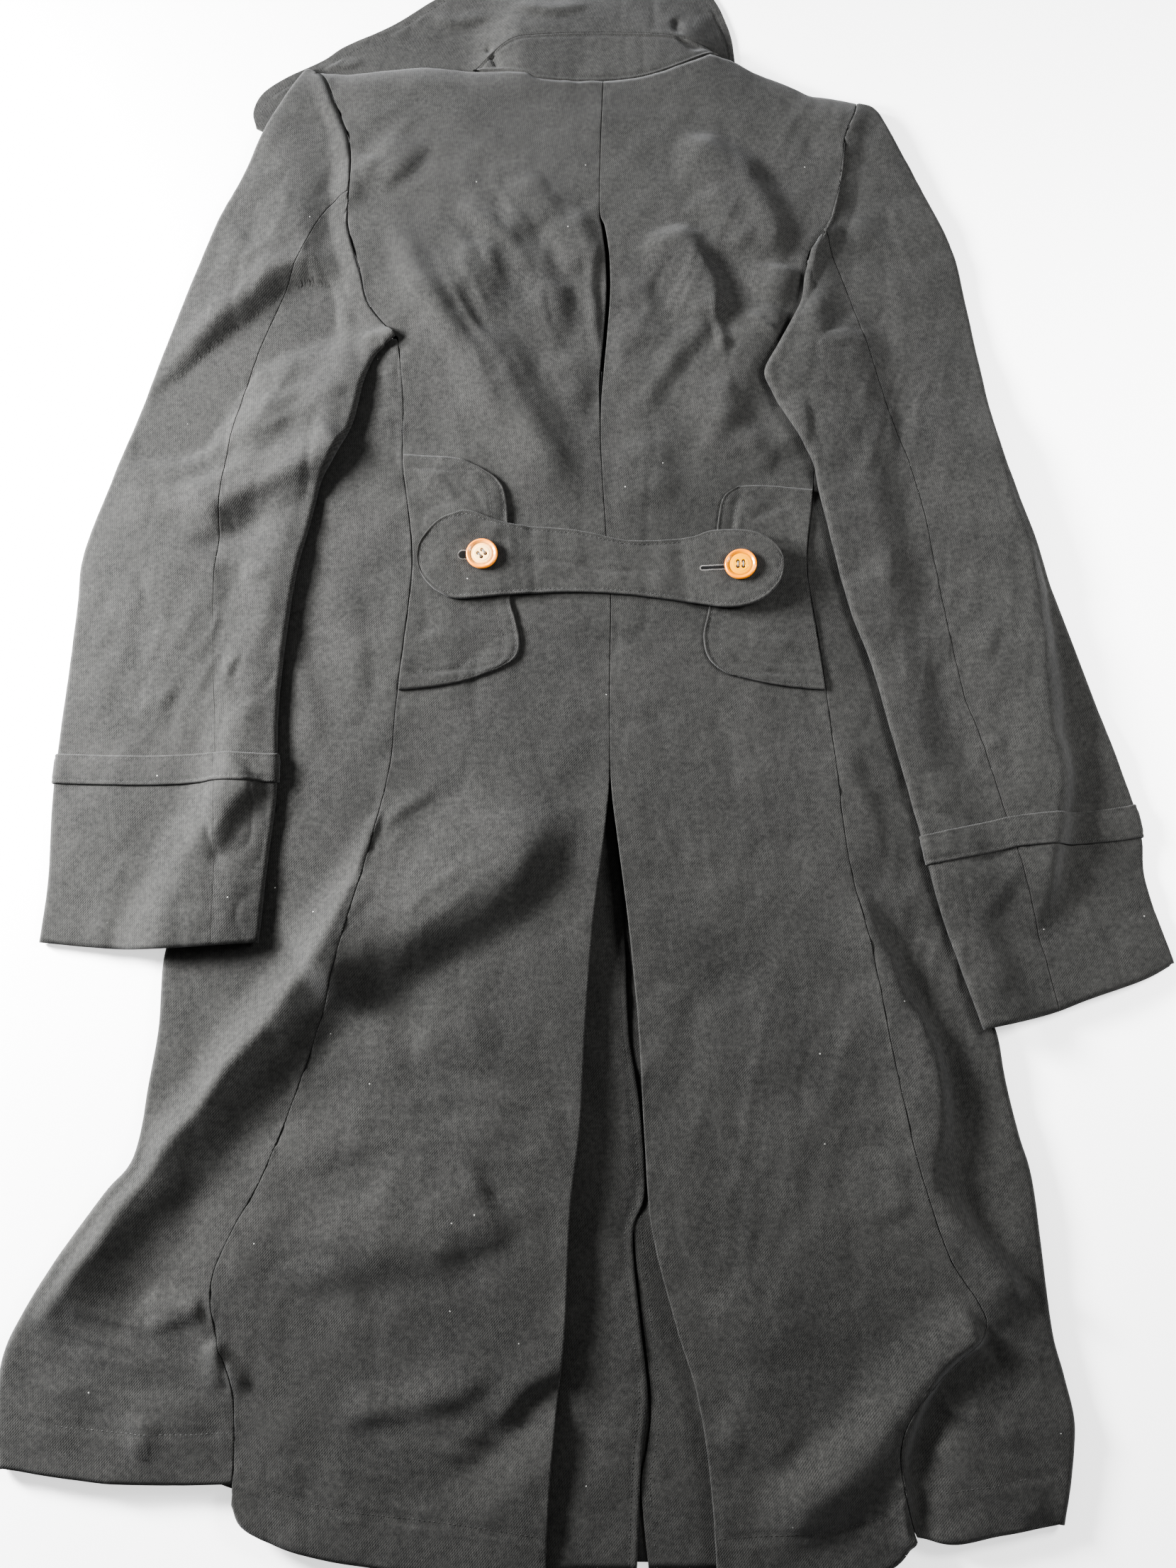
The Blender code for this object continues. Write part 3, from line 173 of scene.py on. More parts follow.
# %% Outlines of the body, as points (across, down)
NECK = {
    "left": [(0, 0), (-29, 0), (-48, -2), (-57, -7)],
    "right": [(0, 0), (28, -3), (55, -12), (80, -23)]}
SHOULDER = {
    "left": [(-57, -7), (-80, -12), (-106, -15), (-133, -18), (-159, -16), (-190, -12),
        (-214, -13)],
    "right": [(80, -23), (98, -19), (115, -12), (135, -4), (154, 6), (170, 9), (189, 13)]}
ARMHOLE = {
    "left": [(-214, -13), (-206, -2), (-199, 17), (-193, 32), (-187, 50), (-185, 71), (-185, 93),
        (-186, 112), (-183, 130), (-174, 161), (-170, 179), (-160, 196), (-146, 212)],
    "right": [(189, 13), (186, 26), (178, 47), (174, 78), (165, 119), (149, 142), (145, 160),
        (143, 180), (145, 200), (151, 217)]}
PRINCESS = {
    "left": [(-146, 212), (-141, 259), (-140, 306), (-134, 347), (-131, 384), (-134, 426),
        (-138, 473), (-141, 521), (-148, 556), (-158, 602), (-171, 660), (-186, 709), (-209, 776),
        (-226, 810), (-237, 840), (-233, 868), (-222, 896), (-219, 925), (-219, 963)],
    "right": [(151, 217), (148, 281), (144, 330), (139, 366), (138, 393), (144, 443), (150, 507),
        (157, 585), (169, 646), (179, 709), (190, 774), (206, 826), (222, 852), (225, 868),
        (199, 892), (179, 912), (171, 932), (173, 956), (179, 982)]}
SIDE_EDGE = {
    "left": [(-160, 216), (-168, 228), (-176, 245), (-183, 268), (-190, 292), (-200, 312),
        (-208, 335), (-216, 370), (-222, 405), (-226, 440), (-231, 480), (-238, 515), (-248, 550),
        (-263, 587), (-277, 624), (-283, 650), (-283, 691), (-287, 727), (-292, 769), (-307, 789),
        (-329, 821), (-352, 859), (-362, 885), (-363, 917), (-359, 945)],
    "right": [(168, 222), (172, 255), (176, 298), (178, 340), (182, 382), (187, 423), (196, 470),
        (206, 520), (217, 568), (229, 624), (239, 669), (247, 695), (250, 721), (256, 755),
        (262, 780), (265, 822), (268, 870), (273, 894), (277, 920), (273, 950), (267, 975)]}
CENTRE_BACK = {
    "left": [(0, 0), (-2, 53), (-3, 108), (-1, 125), (1.4, 150), (2, 178), (-0.4, 212), (-3, 244),
        (-3, 268), (-2, 307), (1, 359), (4, 405), (3, 465), (3, 515), (2.2, 541), (-2, 579),
        (-8, 625), (-13, 690), (-16, 749), (-22, 800), (-25, 868), (-30, 915), (-34, 960),
        (-36, 1008)],
    "right": [(0, 0), (-2, 53), (-3, 108), (0.6, 122), (3.6, 145), (4.4, 174), (2.2, 207),
        (-0.5, 238), (-2.5, 268), (-2, 307), (1, 359), (4, 405), (3, 465), (3, 515), (4, 541),
        (8, 575), (14, 625), (20, 690), (23, 755), (27, 810), (41, 865), (53, 904), (60, 952),
        (63, 1008)]}
BACK_HEM = {
    "left": [(-36, 1008), (-84, 1001), (-134, 996), (-163, 992), (-190, 985), (-212, 975),
        (-219, 963)],
    "right": [(63, 1008), (99, 1006), (139, 1003), (165, 996), (179, 982)]}
SIDE_HEM = {
    "left": [(-220, 952), (-252, 953), (-290, 952), (-320, 949), (-359, 945)],
    "right": [(179, 980), (200, 984), (224, 980), (249, 976), (267, 975)]}
FRONT_TOP = {
    "left": [(-196, 22), (-160, 2), (-120, 0), (-72, 8), (-50, 34), (-18, 62), (30, 74), (75, 78)],
    "right": [(180, 42), (150, 24), (112, 6), (86, 2), (62, 32), (28, 60), (-20, 74), (-75, 78)]}
FRONT_HEM = {
    "left": [(-330, 944), (-250, 948), (-160, 975), (-60, 992), (75, 996)],
    "right": [(240, 972), (180, 978), (100, 990), (0, 994), (-75, 994)]}
print("body seam points:", sum(len(v) for t in (ARMHOLE, PRINCESS, SIDE_EDGE) for v in t.values()))

# %% Outlines of the sleeves, the collar and the small pieces
SLEEVE_OUTER = {
    "left": [(-214, -13), (-223, -17), (-231, -4), (-251, 35), (-267, 79), (-282, 113), (-302, 178),
        (-324, 254), (-344, 320), (-358, 372), (-359, 410), (-362, 487), (-364, 540), (-362, 593),
        (-364, 637)],
    "right": [(189, 13), (203, 18), (214, 40), (240, 102), (254, 139), (261, 183), (274, 281),
        (289, 338), (315, 429), (332, 490), (348, 549), (351, 571), (351, 600), (364, 650)]}
SLEEVE_INNER = {
    "left": [(-146, 212), (-161, 226), (-169, 248), (-175, 278), (-187, 305), (-195, 322),
        (-201, 350), (-208, 383), (-213, 430), (-216, 484), (-214, 535), (-217, 585), (-220, 638)],
    "right": [(149, 142), (143, 165), (140, 184), (131, 203), (122, 220), (112, 240), (117, 255),
        (126, 274), (143, 307), (148, 335), (164, 412), (177, 452), (187, 497), (203, 565),
        (212, 611), (224, 653), (236, 692)]}
CUFF_END = {
    "left": [(-364, 637), (-321, 641), (-286, 642), (-220, 638)],
    "right": [(364, 650), (342, 661), (306, 673), (278, 683), (236, 692)]}
BACK_SEAM = {
    "left": [(-185, 93), (-196, 99), (-206, 113), (-222, 153), (-238, 195), (-251, 238),
        (-262, 300), (-265, 385), (-263, 436), (-257, 500), (-251, 570), (-249, 641)],
    "right": [(159, 127), (164, 146), (176, 185), (199, 271), (212, 312), (221, 355), (236, 463),
        (247, 504), (258, 550), (268, 592), (278, 640), (286, 680)]}
BAND_TOP = {"left": ((-362, 513), (-256, 514), (-217, 515)),
            "right": ((347, 547), (259, 557), (204, 569))}
BAND_BOTTOM = {"left": ((-364, 533), (-255, 533), (-215, 534)),
               "right": ((351, 569), (264, 577), (208, 588))}
LEAF_LOWER = [(-248, 38), (-238, 22), (-222, 2), (-205, -3), (-186, -2), (-159, -6), (-133, -8),
    (-112, -10), (-97, -17), (-82, -30), (-66, -39), (-38, -42), (0, -43), (37, -42), (56, -40),
    (70, -36), (84, -30), (96, -14)]
LEAF_OUTER = [(-259, 32), (-262, 18), (-256, 2), (-239, -12), (-212, -27), (-195, -40), (-161, -58),
    (-131, -80), (-100, -101), (-60, -118), (0, -127), (40, -121), (70, -103), (86, -80), (94, -60),
    (98, -44), (100, -22)]
STAND_SEAM = [(-98, -17), (-80, -14), (-66, -10), (-56, -7), (-48, -3), (-29, -1), (0, -1),
    (28, -4), (55, -13), (79, -24.4), (88, -23)]
BELT_UPPER = [(-127, 378), (-126, 368), (-120, 358), (-112, 350), (-102, 346), (-92, 345),
    (-64, 354), (-17, 359), (16, 366), (56, 364), (71, 360), (89, 360), (103, 363), (114, 370),
    (119, 378), (120, 384)]
BELT_LOWER = [(-127, 378), (-125, 388), (-120, 396), (-112, 403), (-98, 408), (-63, 405),
    (-23, 403), (16, 405), (55, 410), (80, 415), (95, 414), (107, 409), (116, 400), (119, 392),
    (120, 384)]
TAB_FREE = {
    "left": [(-87, 312), (-73, 322), (-67, 338), (-65, 380), (-64, 407), (-60, 422), (-57, 438),
        (-60, 449), (-72, 457)],
    "right": [(92, 325), (82, 333), (78, 348), (74, 385), (70, 414), (66, 433), (69, 449),
        (80, 459), (90, 462)]}
TAB_TOP = {
    "left": [(-139, 301), (-118, 303), (-100, 306), (-87, 312)],
    "right": [(142, 327), (122, 325), (106, 324), (92, 325)]}
TAB_BOTTOM = {
    "left": [(-137, 471), (-118, 469), (-95, 465), (-72, 457)],
    "right": [(145, 471), (125, 469), (106, 466), (90, 462)]}
BUTTON_AT = {"left": (-83, 377), "right": (91, 386)}
UNDERLAY_EDGE = {
    "left": [(4, 548), (10, 597), (13, 645), (15, 695), (21, 735), (24, 789), (16, 815), (20, 865),
        (24, 905), (20, 940), (17, 1000)],
    "right": [(6, 552), (10, 640), (12, 740), (18, 830), (26, 905), (24, 932), (20, 955),
        (24, 1000)]}
print("sleeve seams:", {k: len(v) for k, v in BACK_SEAM.items()})

# %% [markdown]
# ## Random but repeatable waviness
#
# Cloth is never dead flat. Lattice noise gives soft hills and hollows: random
# numbers on a square net, blended between its corners. The seed makes it the
# same every time.

# %% Lattice noise
LATTICE = 64


def ripple(across, down, size, seed):
    """Soft random heights from -1 to 1: a random number at each corner of a
    square net of the given size, mixed with a smooth step along both sides."""
    table = np.random.default_rng(seed).uniform(-1, 1, (LATTICE, LATTICE))
    x, y = np.asarray(across) / size, np.asarray(down) / size
    i, j = np.floor(x).astype(int), np.floor(y).astype(int)
    u, v = smooth(x - i), smooth(y - j)
    corner = [table[(i + p) % LATTICE, (j + q) % LATTICE] for p in (0, 1) for q in (0, 1)]
    near = corner[0] * (1 - v) + corner[1] * v
    far = corner[2] * (1 - v) + corner[3] * v
    return near * (1 - u) + far * u


sample = ripple(np.arange(400.0), np.arange(400.0), 40, 3)
print("noise from", round(sample.min(), 2), "to", round(sample.max(), 2))

# %% [markdown]
# ## Folds
#
# A fold is a line on the cloth with a bump across it. Each row of the table
# gives the line, how far the bump reaches to the left and to the right of the
# way it runs, its height (a trough is negative), how soon each end fades out and
# how keen its crest is, from 0 for a soft roll to 1 for a pinched crease.

# %% Fold table of the body
BODY_FOLDS = [
    # points, left, right, height, fade in, fade out, keenness
    # The skirt's large ridges and valleys, and the overlap at its right
    ([(-150, 546), (-169, 620), (-183, 653), (-206, 680), (-271, 772), (-317, 831), (-337, 855),
     (-355, 872)], 28, 43, 12, .3, .14, .8),
    ([(-132, 665), (-158, 678), (-240, 781), (-320, 858)], 23, 56, -3.2, .3, .3, 0),
    ([(-19, 538), (-55, 584), (-80, 604), (-145, 642), (-185, 672)], 69, 35, 12.4, .3, .1, .1),
    ([(156, 590), (198, 695), (202, 725), (202, 755), (197, 784), (210, 805), (259, 857)],
     37, 14, 6, .2, .1, .3),
    ([(167, 607), (211, 704), (218, 734), (223, 792), (253, 841)], 12, 37, -3.6, .15, .2, .1),
    ([(253, 850), (238, 840), (197, 805)], 12, 6, 2.4, .2, .2, .4),
    ([(227, 864), (208, 876), (191, 891), (179, 902), (159, 928), (138, 948), (113, 967),
     (101, 991)], 33, 28, 7.5, .06, .2, .2),
    ([(230, 870), (206, 889), (190, 911), (180, 936), (177, 962), (180, 988)],
     7, 28, -4, .05, .1, .2),
    # Left of the slit, between the shoulder blades
    ([(-106, 102), (-82, 124), (-56, 145)], 17, 9, 2, .25, .4, .3),
    ([(-113, 119), (-95, 154), (-86, 171)], 22, 11, 2, .35, .35, .1),
    ([(-85, 126), (-86, 148), (-83, 171), (-75, 194)], 32, 16, 3.7, .3, .45, .15),
    ([(-64, 101), (-66, 127), (-61, 150), (-52, 172)], 34, 17, 4, .35, .4, .15),
    ([(-61, 75), (-38, 113), (-28, 132)], 27, 13, 2.5, .3, .4, .1),
    ([(-27, 103), (-10, 149), (-5, 166)], 34, 17, 4, .35, .3, .15),
    ([(-52, 129), (-44, 155), (-34, 173), (-31, 192), (-32, 214)], 29, 15, 3.3, .3, .4, .15),
    ([(-3, 132), (-7, 197), (-5, 236)], 7, 6, 2, .3, .35, .1),
    # Long diagonals from the left armhole to the waist
    ([(-154, 112), (-124, 180), (-86, 253), (-60, 296)], 19, 16, 2.6, .25, .3, 0),
    ([(-84, 197), (-63, 230), (-27, 305)], 38, 19, 2.3, .3, .35, .1),
    ([(-32, 217), (-20, 244), (-11, 276)], 29, 15, 2.3, .3, .35, .1),
    ([(-134, 46), (-161, 82), (-171, 97)], 29, 15, 2.6, .35, .35, .05),
    ([(-134, 134), (-128, 161), (-25, 328), (-5, 351)], 56, 49, 6.6, .2, .25, .45),
    ([(-105, 166), (-62, 236), (-7, 333)], 11, 28, -1.4, .15, .25, .1),
    ([(-172, 63), (-178, 83), (-184, 104)], 22, 11, 1.9, .15, .15, .1),
    # Right of the slit, down to the waist
    ([(54, 46), (93, 72), (104, 85), (118, 122), (125, 159)], 43, 22, 7.3, .2, .2, .1),
    ([(132, 151), (129, 166), (120, 187)], 35, 17, 4.9, .3, .3, .1),
    ([(55, 118), (61, 140), (85, 200)], 41, 21, 7.4, .2, .2, .15),
    ([(75, 175), (83, 210), (88, 232)], 6, 10, 3, .3, .3, .6),
    ([(72, 190), (68, 209), (33, 253), (30, 275)], 27, 13, 3.7, .2, .3, .2),
    ([(125, 216), (114, 203), (102, 190)], 11, 6, 2.3, .1, .2, .5),
    ([(128, 205), (121, 196), (114, 187)], 9, 5, 1.9, .2, .2, .5),
    ([(86, 243), (83, 263), (83, 283)], 36, 18, 1.9, .3, .3, .1),
    ([(145, 285), (131, 288), (114, 298), (99, 311)], 32, 16, 3.2, .1, .3, .2),
    # Beside the left seam, above the hem and on the left side
    ([(-143, 551), (-155, 575), (-161, 592)], 11, 6, 1.6, .3, .3, .3),
    ([(-109, 540), (-136, 561), (-143, 573)], 11, 6, 1.6, .3, .3, .3),
    ([(-55, 798), (-71, 807), (-151, 825), (-176, 834), (-199, 846)], 52, 26, 4.2, .12, .35, .1),
    ([(-68, 892), (-88, 903), (-142, 915), (-163, 923)], 22, 11, 3.1, .2, .3, .2),
    ([(4, 891), (-32, 903), (-49, 917), (-64, 934), (-110, 959)], 21, 28, -4, .06, .35, .2),
    ([(-3, 886), (-40, 897), (-59, 912), (-73, 927)], 14, 7, 2.6, .2, .3, .3),
    ([(-242, 851), (-261, 851), (-278, 848)], 11, 6, 2.2, .1, .2, .4),
    ([(-241, 854), (-258, 859), (-276, 865)], 13, 7, 2.6, .1, .3, .3),
    ([(-236, 871), (-218, 890), (-208, 899)], 15, 7, 3, .15, .2, .4),
    ([(-229, 869), (-230, 888), (-228, 903)], 13, 7, 1.8, .2, .2, .3),
    ([(-271, 911), (-273, 924), (-275, 940)], 15, 7, 2.1, .2, .2, .2),
    # Low on the right
    ([(172, 763), (172, 785), (178, 809)], 31, 16, 2.8, .25, .25, .2),
    ([(249, 933), (229, 926), (209, 914), (189, 911)], 15, 7, 2.1, .3, .2, .3),
    ([(259, 971), (243, 965), (205, 937), (185, 936)], 19, 9, 3.7, .2, .2, .3),
    ([(177, 944), (175, 963), (179, 986)], 17, 8, 3.4, .2, .1, .2),
    # Soft rolls of the back, the skirt and the hips
    ([(-113, 287), (-88, 319), (-63, 355)], 41, 21, 2.5, .3, .3, 0),
    ([(10, 264), (12, 226), (22, 182)], 28, 14, 2, .3, .3, 0),
    ([(15, 287), (33, 312), (42, 346)], 45, 23, 2.7, .3, .3, 0),
    ([(72, 267), (95, 287), (103, 306)], 41, 21, 3.3, .3, .3, .1),
    ([(-63, 693), (-95, 702), (-128, 693)], 47, 23, 2.3, .3, .3, 0),
    ([(128, 700), (90, 708), (49, 700)], 56, 28, 2.5, .3, .3, 0),
    ([(126, 875), (90, 868), (58, 849)], 47, 23, 2.8, .3, .3, 0),
    ([(109, 941), (88, 925), (63, 913)], 32, 16, 2.2, .3, .3, 0),
    ([(-214, 416), (-202, 466), (-193, 523)], 28, 14, 1.7, .3, .3, 0),
    ([(-177, 386), (-165, 435), (-167, 483)], 28, 14, 1.4, .3, .3, 0),
    ([(155, 496), (167, 543), (178, 594)], 28, 14, 2.2, .3, .3, .1),
    # Diagonals from the right armhole to the waist
    ([(125, 176), (109, 219), (84, 257), (63, 295)], 49, 25, 4.4, .25, .25, .05),
    ([(75, 87), (90, 115), (97, 149)], 34, 17, 3, .2, .2, .1),
    ([(18, 162), (32, 189), (36, 226)], 34, 17, 2.4, .25, .25, .1),
]
print("body folds:", len(BODY_FOLDS))

# %% Fold table of the sleeves
SLEEVE_FOLDS = {
    "left": [
        ([(-179, 168), (-208, 175), (-228, 186), (-252, 205), (-275, 229), (-295, 259), (-313, 287),
         (-323, 313)], 28, 58, -12, .1, .25, 0),
        ([(-178, 143), (-209, 152), (-236, 166), (-263, 187), (-286, 214), (-304, 246)],
         28, 19, 2.2, .2, .3, 0),
        ([(-175, 251), (-204, 262), (-266, 302)], 28, 28, 2.8, .25, .3, 0),
        ([(-180, 150), (-195, 157), (-213, 162)], 21, 10, 3.5, .1, .3, .2),
        ([(-158, 189), (-168, 188), (-179, 185)], 11, 6, 2.2, .2, .2, .4),
        ([(-173, 291), (-197, 305), (-269, 336), (-286, 354)], 33, 16, 6, .12, .2, .1),
        ([(-182, 328), (-258, 355), (-285, 371)], 11, 28, -3, .1, .2, .1),
        ([(-226, 381), (-232, 389), (-243, 396)], 21, 10, 1.9, .3, .3, .1),
        ([(-244, 443), (-252, 454), (-258, 457)], 15, 7, 1.3, .3, .3, .1),
        ([(-287, 466), (-294, 476), (-309, 481)], 13, 7, 1.2, .3, .3, .2),
        ([(-223, 531), (-238, 545), (-251, 565), (-260, 585)], 34, 17, 5.7, .15, .3, .1),
    ],
    "right": [
        ([(269, 209), (273, 301), (286, 364), (294, 435), (292, 541), (280, 611), (270, 640)],
         93, 19, 9, .25, .12, .5),
        ([(287, 327), (301, 373), (309, 419), (311, 464), (309, 546), (300, 583), (287, 620)],
         12, 28, -4.6, .25, .15, .1),
        ([(196, 70), (182, 79), (171, 86)], 13, 7, 2.6, .25, .25, .3),
        ([(231, 145), (199, 137), (183, 125), (177, 108)], 13, 7, 1.8, .35, .25, .3),
        ([(193, 370), (194, 387), (188, 401)], 19, 9, 1.7, .3, .3, .2),
        ([(257, 420), (256, 437), (250, 451)], 21, 10, 1.9, .3, .3, .2),
        ([(222, 420), (223, 445), (218, 462)], 19, 9, 1.7, .3, .3, .2),
        ([(265, 506), (255, 510), (248, 508)], 11, 6, 1.6, .3, .3, .3),
        ([(263, 586), (251, 602), (241, 622)], 22, 11, 2.2, .3, .3, .1),
    ],
}
print("sleeve folds:", {k: len(v) for k, v in SLEEVE_FOLDS.items()})

# %% Height of all folds at a point
FOLD_STEPS = 48  # places on a fold's line
END_WIDTH = 0.3  # share of its width that a fold keeps where it ends


def fold_heights(folds, across, down):
    """The sum of the folds: across each line a bump that is a squared cosine
    where it is soft and a squared wedge where it is keen. Towards both ends it
    fades, and it narrows with the square root of that fading."""
    total = np.zeros(np.shape(across))
    for points, left, right, height, fade_in, fade_out, keen in folds:
        line = spline(points, FOLD_STEPS)
        widest = max(left, right)
        low, high = line.min(axis=0) - widest, line.max(axis=0) + widest
        near = (across > low[0]) & (across < high[0]) & (down > low[1]) & (down < high[1])
        if not near.any():
            continue
        gap, share = nearest(line, across[near], down[near])
        ends = smooth(share / fade_in) * smooth((1 - share) / fade_out)
        reach = np.where(gap < 0, left, right) * (END_WIDTH + (1 - END_WIDTH) * np.sqrt(ends))
        off = np.clip(np.abs(gap) / reach, 0, 1)
        soft = np.cos(off * math.pi / 2) ** 2
        bump = soft + ((1 - off) ** 2 - soft) * keen
        total[near] += height * bump * ends
    return total


crest = fold_heights(BODY_FOLDS[:1], np.array([-230.0]), np.array([701.0]))
print("skirt ridge at its crest:", round(float(crest[0]), 1), "mm")

# %% Drag lines
BODY_DRAGS = [
    # middle across and down, reach across and down, degrees from straight down, height, seed
    (-62, 160, 66, 95, 27, 1.7, 64),
    (72, 170, 62, 100, -24, 1.3, 65),
    (150, 60, 40, 70, -30, 0.9, 66),
    (-160, 60, 40, 60, -40, 0.9, 67),
    (-120, 590, 60, 50, -50, 1.1, 68),
    (-100, 760, 110, 90, 80, 0.9, 69),
    (-295, 880, 70, 60, 75, 1.3, 70),
    (-225, 660, 45, 60, 60, 0.9, 71),
    (90, 760, 110, 150, -12, 0.8, 72),
    (225, 890, 55, 80, 40, 1.1, 73),
    (-90, 930, 90, 50, 70, 1.0, 74),
    (70, 560, 90, 70, 10, 0.5, 75),
    (-60, 560, 60, 60, 30, 0.6, 76),
    (205, 640, 40, 120, -8, 1.0, 77),
]
SLEEVE_DRAGS = {
    "left": [
        (-240, 130, 55, 70, -35, 1.0, 81),
        (-260, 260, 75, 80, -55, 1.4, 82),
        (-265, 335, 65, 50, -70, 1.2, 83),
        (-300, 450, 60, 70, -25, 0.9, 84),
        (-290, 590, 70, 45, -40, 0.8, 85),
    ],
    "right": [
        (215, 110, 55, 70, 35, 1.1, 86),
        (200, 270, 70, 80, -15, 0.9, 87),
        (260, 450, 80, 120, -8, 1.0, 88),
        (290, 620, 70, 60, 25, 0.8, 89),
    ],
}


DRAG_SIZES = (
    # the net's size, its share along the way they run, keenness, level, strength, seed's shift
    (13, 0.24, 3, 0.42, 1.0, 0),
    (6.5, 0.3, 4, 0.3, 0.35, 40),
)
PATCH_EDGE = 1.3  # a patch ends at this share of its reach


def drag_lines(table, across, down):
    """Long thin folds in round patches. The noise's net is stretched along the
    way they run, and the exponential of its size makes keen crests of the
    places where it crosses zero. A smooth step fades them out of the patch."""
    total = np.zeros(np.shape(across))
    for at_a, at_d, wide, tall, turn, height, seed in table:
        da, dd = across - at_a, down - at_d
        steep, level = math.cos(math.radians(turn)), math.sin(math.radians(turn))
        along, beside = da * level + dd * steep, da * steep - dd * level
        within = smooth(PATCH_EDGE - np.hypot(da / wide, dd / tall))
        lines = sum(strength * (np.exp(-keen * np.abs(
            ripple(beside, along * share, size, seed + shift))) - level)
            for size, share, keen, level, strength, shift in DRAG_SIZES)
        total = total + height * within * lines
    return total


print("drag line patches:", len(BODY_DRAGS) + sum(map(len, SLEEVE_DRAGS.values())))

# %% [markdown]
# ## How high the coat lies
#
# Folded layers keep a coat a centimetre or so off the table in the middle and
# let it fall to the side folds. A table gives that height down the coat, and the
# folds, a gentle waviness and the roll over the shoulders are added to it.

# %% Height of the body's outer face
BODY_HEIGHT = [
    # down, centre, seam, side
    (0, 12.5, 10.5, 8.0),
    (60, 12.5, 11.5, 8.0),
    (140, 13.0, 12.0, 8.0),
    (215, 13.0, 10.5, 7.0),
    (320, 12.0, 9.5, 6.0),
    (420, 12.0, 9.5, 6.0),
    (520, 13.5, 10.0, 6.5),
    (640, 15.0, 12.0, 7.0),
    (760, 15.5, 13.0, 7.5),
    (860, 15.0, 13.0, 8.0),
    (950, 13.5, 11.0, 7.5),
    (1010, 12.5, 10.0, 7.0),
]
LOWEST_TOP = 4.6  # the back's outer face never comes lower than this
SHOULDER_EDGE = 3.8  # its height at the shoulder line
SHOULDER_ROLL = 26.0  # length over which it rolls down to it
NECK_MIDDLE, NECK_HALF, NECK_BLEND = 12.0, 68.0, 45.0  # behind the neck it doesn't roll
WAVES = ((1.2, 74, 11), (0.85, 37, 12), (0.42, 17, 13), (0.16, 8, 14))  # height, size, seed
CREASES = ((0.6, 58, 61), (0.36, 27, 62))  # the same for keen creases
CREASE_KEEN = 9
DRIFT, DRIFT_NET = 3.5, 33  # how far the folds stray from their drawn lines
ABOVE = {"arm": 200.0, "princess": 150.0, "side": 175.0}  # half widths above where a line starts
SIDE_LEAST, SIDE_CURVE = 14, 1.3  # least width and slope from the seam to the side
SOFT_FLOOR = 0.8
print("height in the middle of the waist:", BODY_HEIGHT[5][1], "mm")

# %% The body's outer face


def half_width(table, down, above):
    """How far across an outline lies at each distance down."""
    line = spline(table)
    order = np.argsort(line[:, 1])
    reach = np.interp(down, line[order, 1], np.abs(line[order, 0]))
    return np.where(down < line[0, 1], above, reach)


def waviness(across, down, waves=WAVES):
    """Several sizes of lattice noise, each with its own height, and keen
    creases where a noise of their own crosses zero: the height less the
    square root of its distance from zero."""
    soft = sum(height * ripple(across, down, size, seed) for height, size, seed in waves)
    keen = sum(-height * np.exp(-np.abs(ripple(across, down, size, seed)) * CREASE_KEEN)
               for height, size, seed in CREASES)
    return soft + keen


def body_base(across, down):
    """The plain height from the table: from the centre to the princess seam
    on a soft step, and from there down to the side fold on a power curve."""
    rows = np.array(BODY_HEIGHT)
    centre, seam, side = (np.interp(down, rows[:, 0], rows[:, k]) for k in (1, 2, 3))
    base = np.zeros(across.shape)
    for name, sign in SIDES.items():
        here = across < 0 if sign < 0 else across >= 0
        arm = half_width(ARMHOLE[name], down, ABOVE["arm"])
        prin = half_width(PRINCESS[name], down, ABOVE["princess"])
        prin = np.where(down < ARMHOLE[name][-1][1], arm, prin)
        edge = np.maximum(half_width(SIDE_EDGE[name], down, ABOVE["side"]), prin + SIDE_LEAST)
        inner = smooth(np.abs(across) / prin)
        outer = np.clip((np.abs(across) - prin) / (edge - prin), 0, 1) ** SIDE_CURVE
        base = np.where(here, centre + (seam - centre) * inner + (side - seam) * outer, base)
    return base


def body_top(across, down):
    """Height of the outer face of the laid coat: the base, the folds with
    their lines bent a little by noise, the waviness, and the shoulder's roll.
    A soft maximum keeps it above the lowest height."""
    across, down = np.broadcast_arrays(np.asarray(across, float), np.asarray(down, float))
    bent_a = across + DRIFT * ripple(across, down, DRIFT_NET, 21)
    bent_d = down + DRIFT * ripple(across, down, DRIFT_NET, 22)
    top = body_base(across, down) + fold_heights(BODY_FOLDS, bent_a, bent_d)
    top = top + waviness(across, down) + drag_lines(BODY_DRAGS, bent_a, bent_d)
    line = np.vstack([spline(SHOULDER["left"])[::-1], spline(SHOULDER["right"])])
    below = np.clip((down - np.interp(across, line[:, 0], line[:, 1])) / SHOULDER_ROLL, 0, 1)
    roll = np.sqrt(1 - (1 - below) ** 2)
    level = 1 - smooth((np.abs(across - NECK_MIDDLE) - NECK_HALF) / NECK_BLEND)
    roll = roll + (1 - roll) * level
    top = SHOULDER_EDGE + (top - SHOULDER_EDGE) * roll
    floor = np.where(roll > 0.99, LOWEST_TOP, SHOULDER_EDGE)
    return floor + 0.5 * ((top - floor) + np.hypot(top - floor, SOFT_FLOOR))


print("height at the waist:", body_top([0, -100, -170], [400] * 3).round(1))

# %% [markdown]
# ## Panels as grids
#
# A panel lies between four lines. A Coons patch fills the space between them
# with rows and columns, set closer together near a seam, where the cloth rolls
# over. The wall is the grid and a second one a cloth's thickness below, joined
# round the rim, so each piece is closed.

# %% Columns and patches
EDGE_STEPS = (0.0, 0.35, 0.8, 1.4, 2.2, 3.3, 5.0, 7.2)  # distances of the columns near an edge


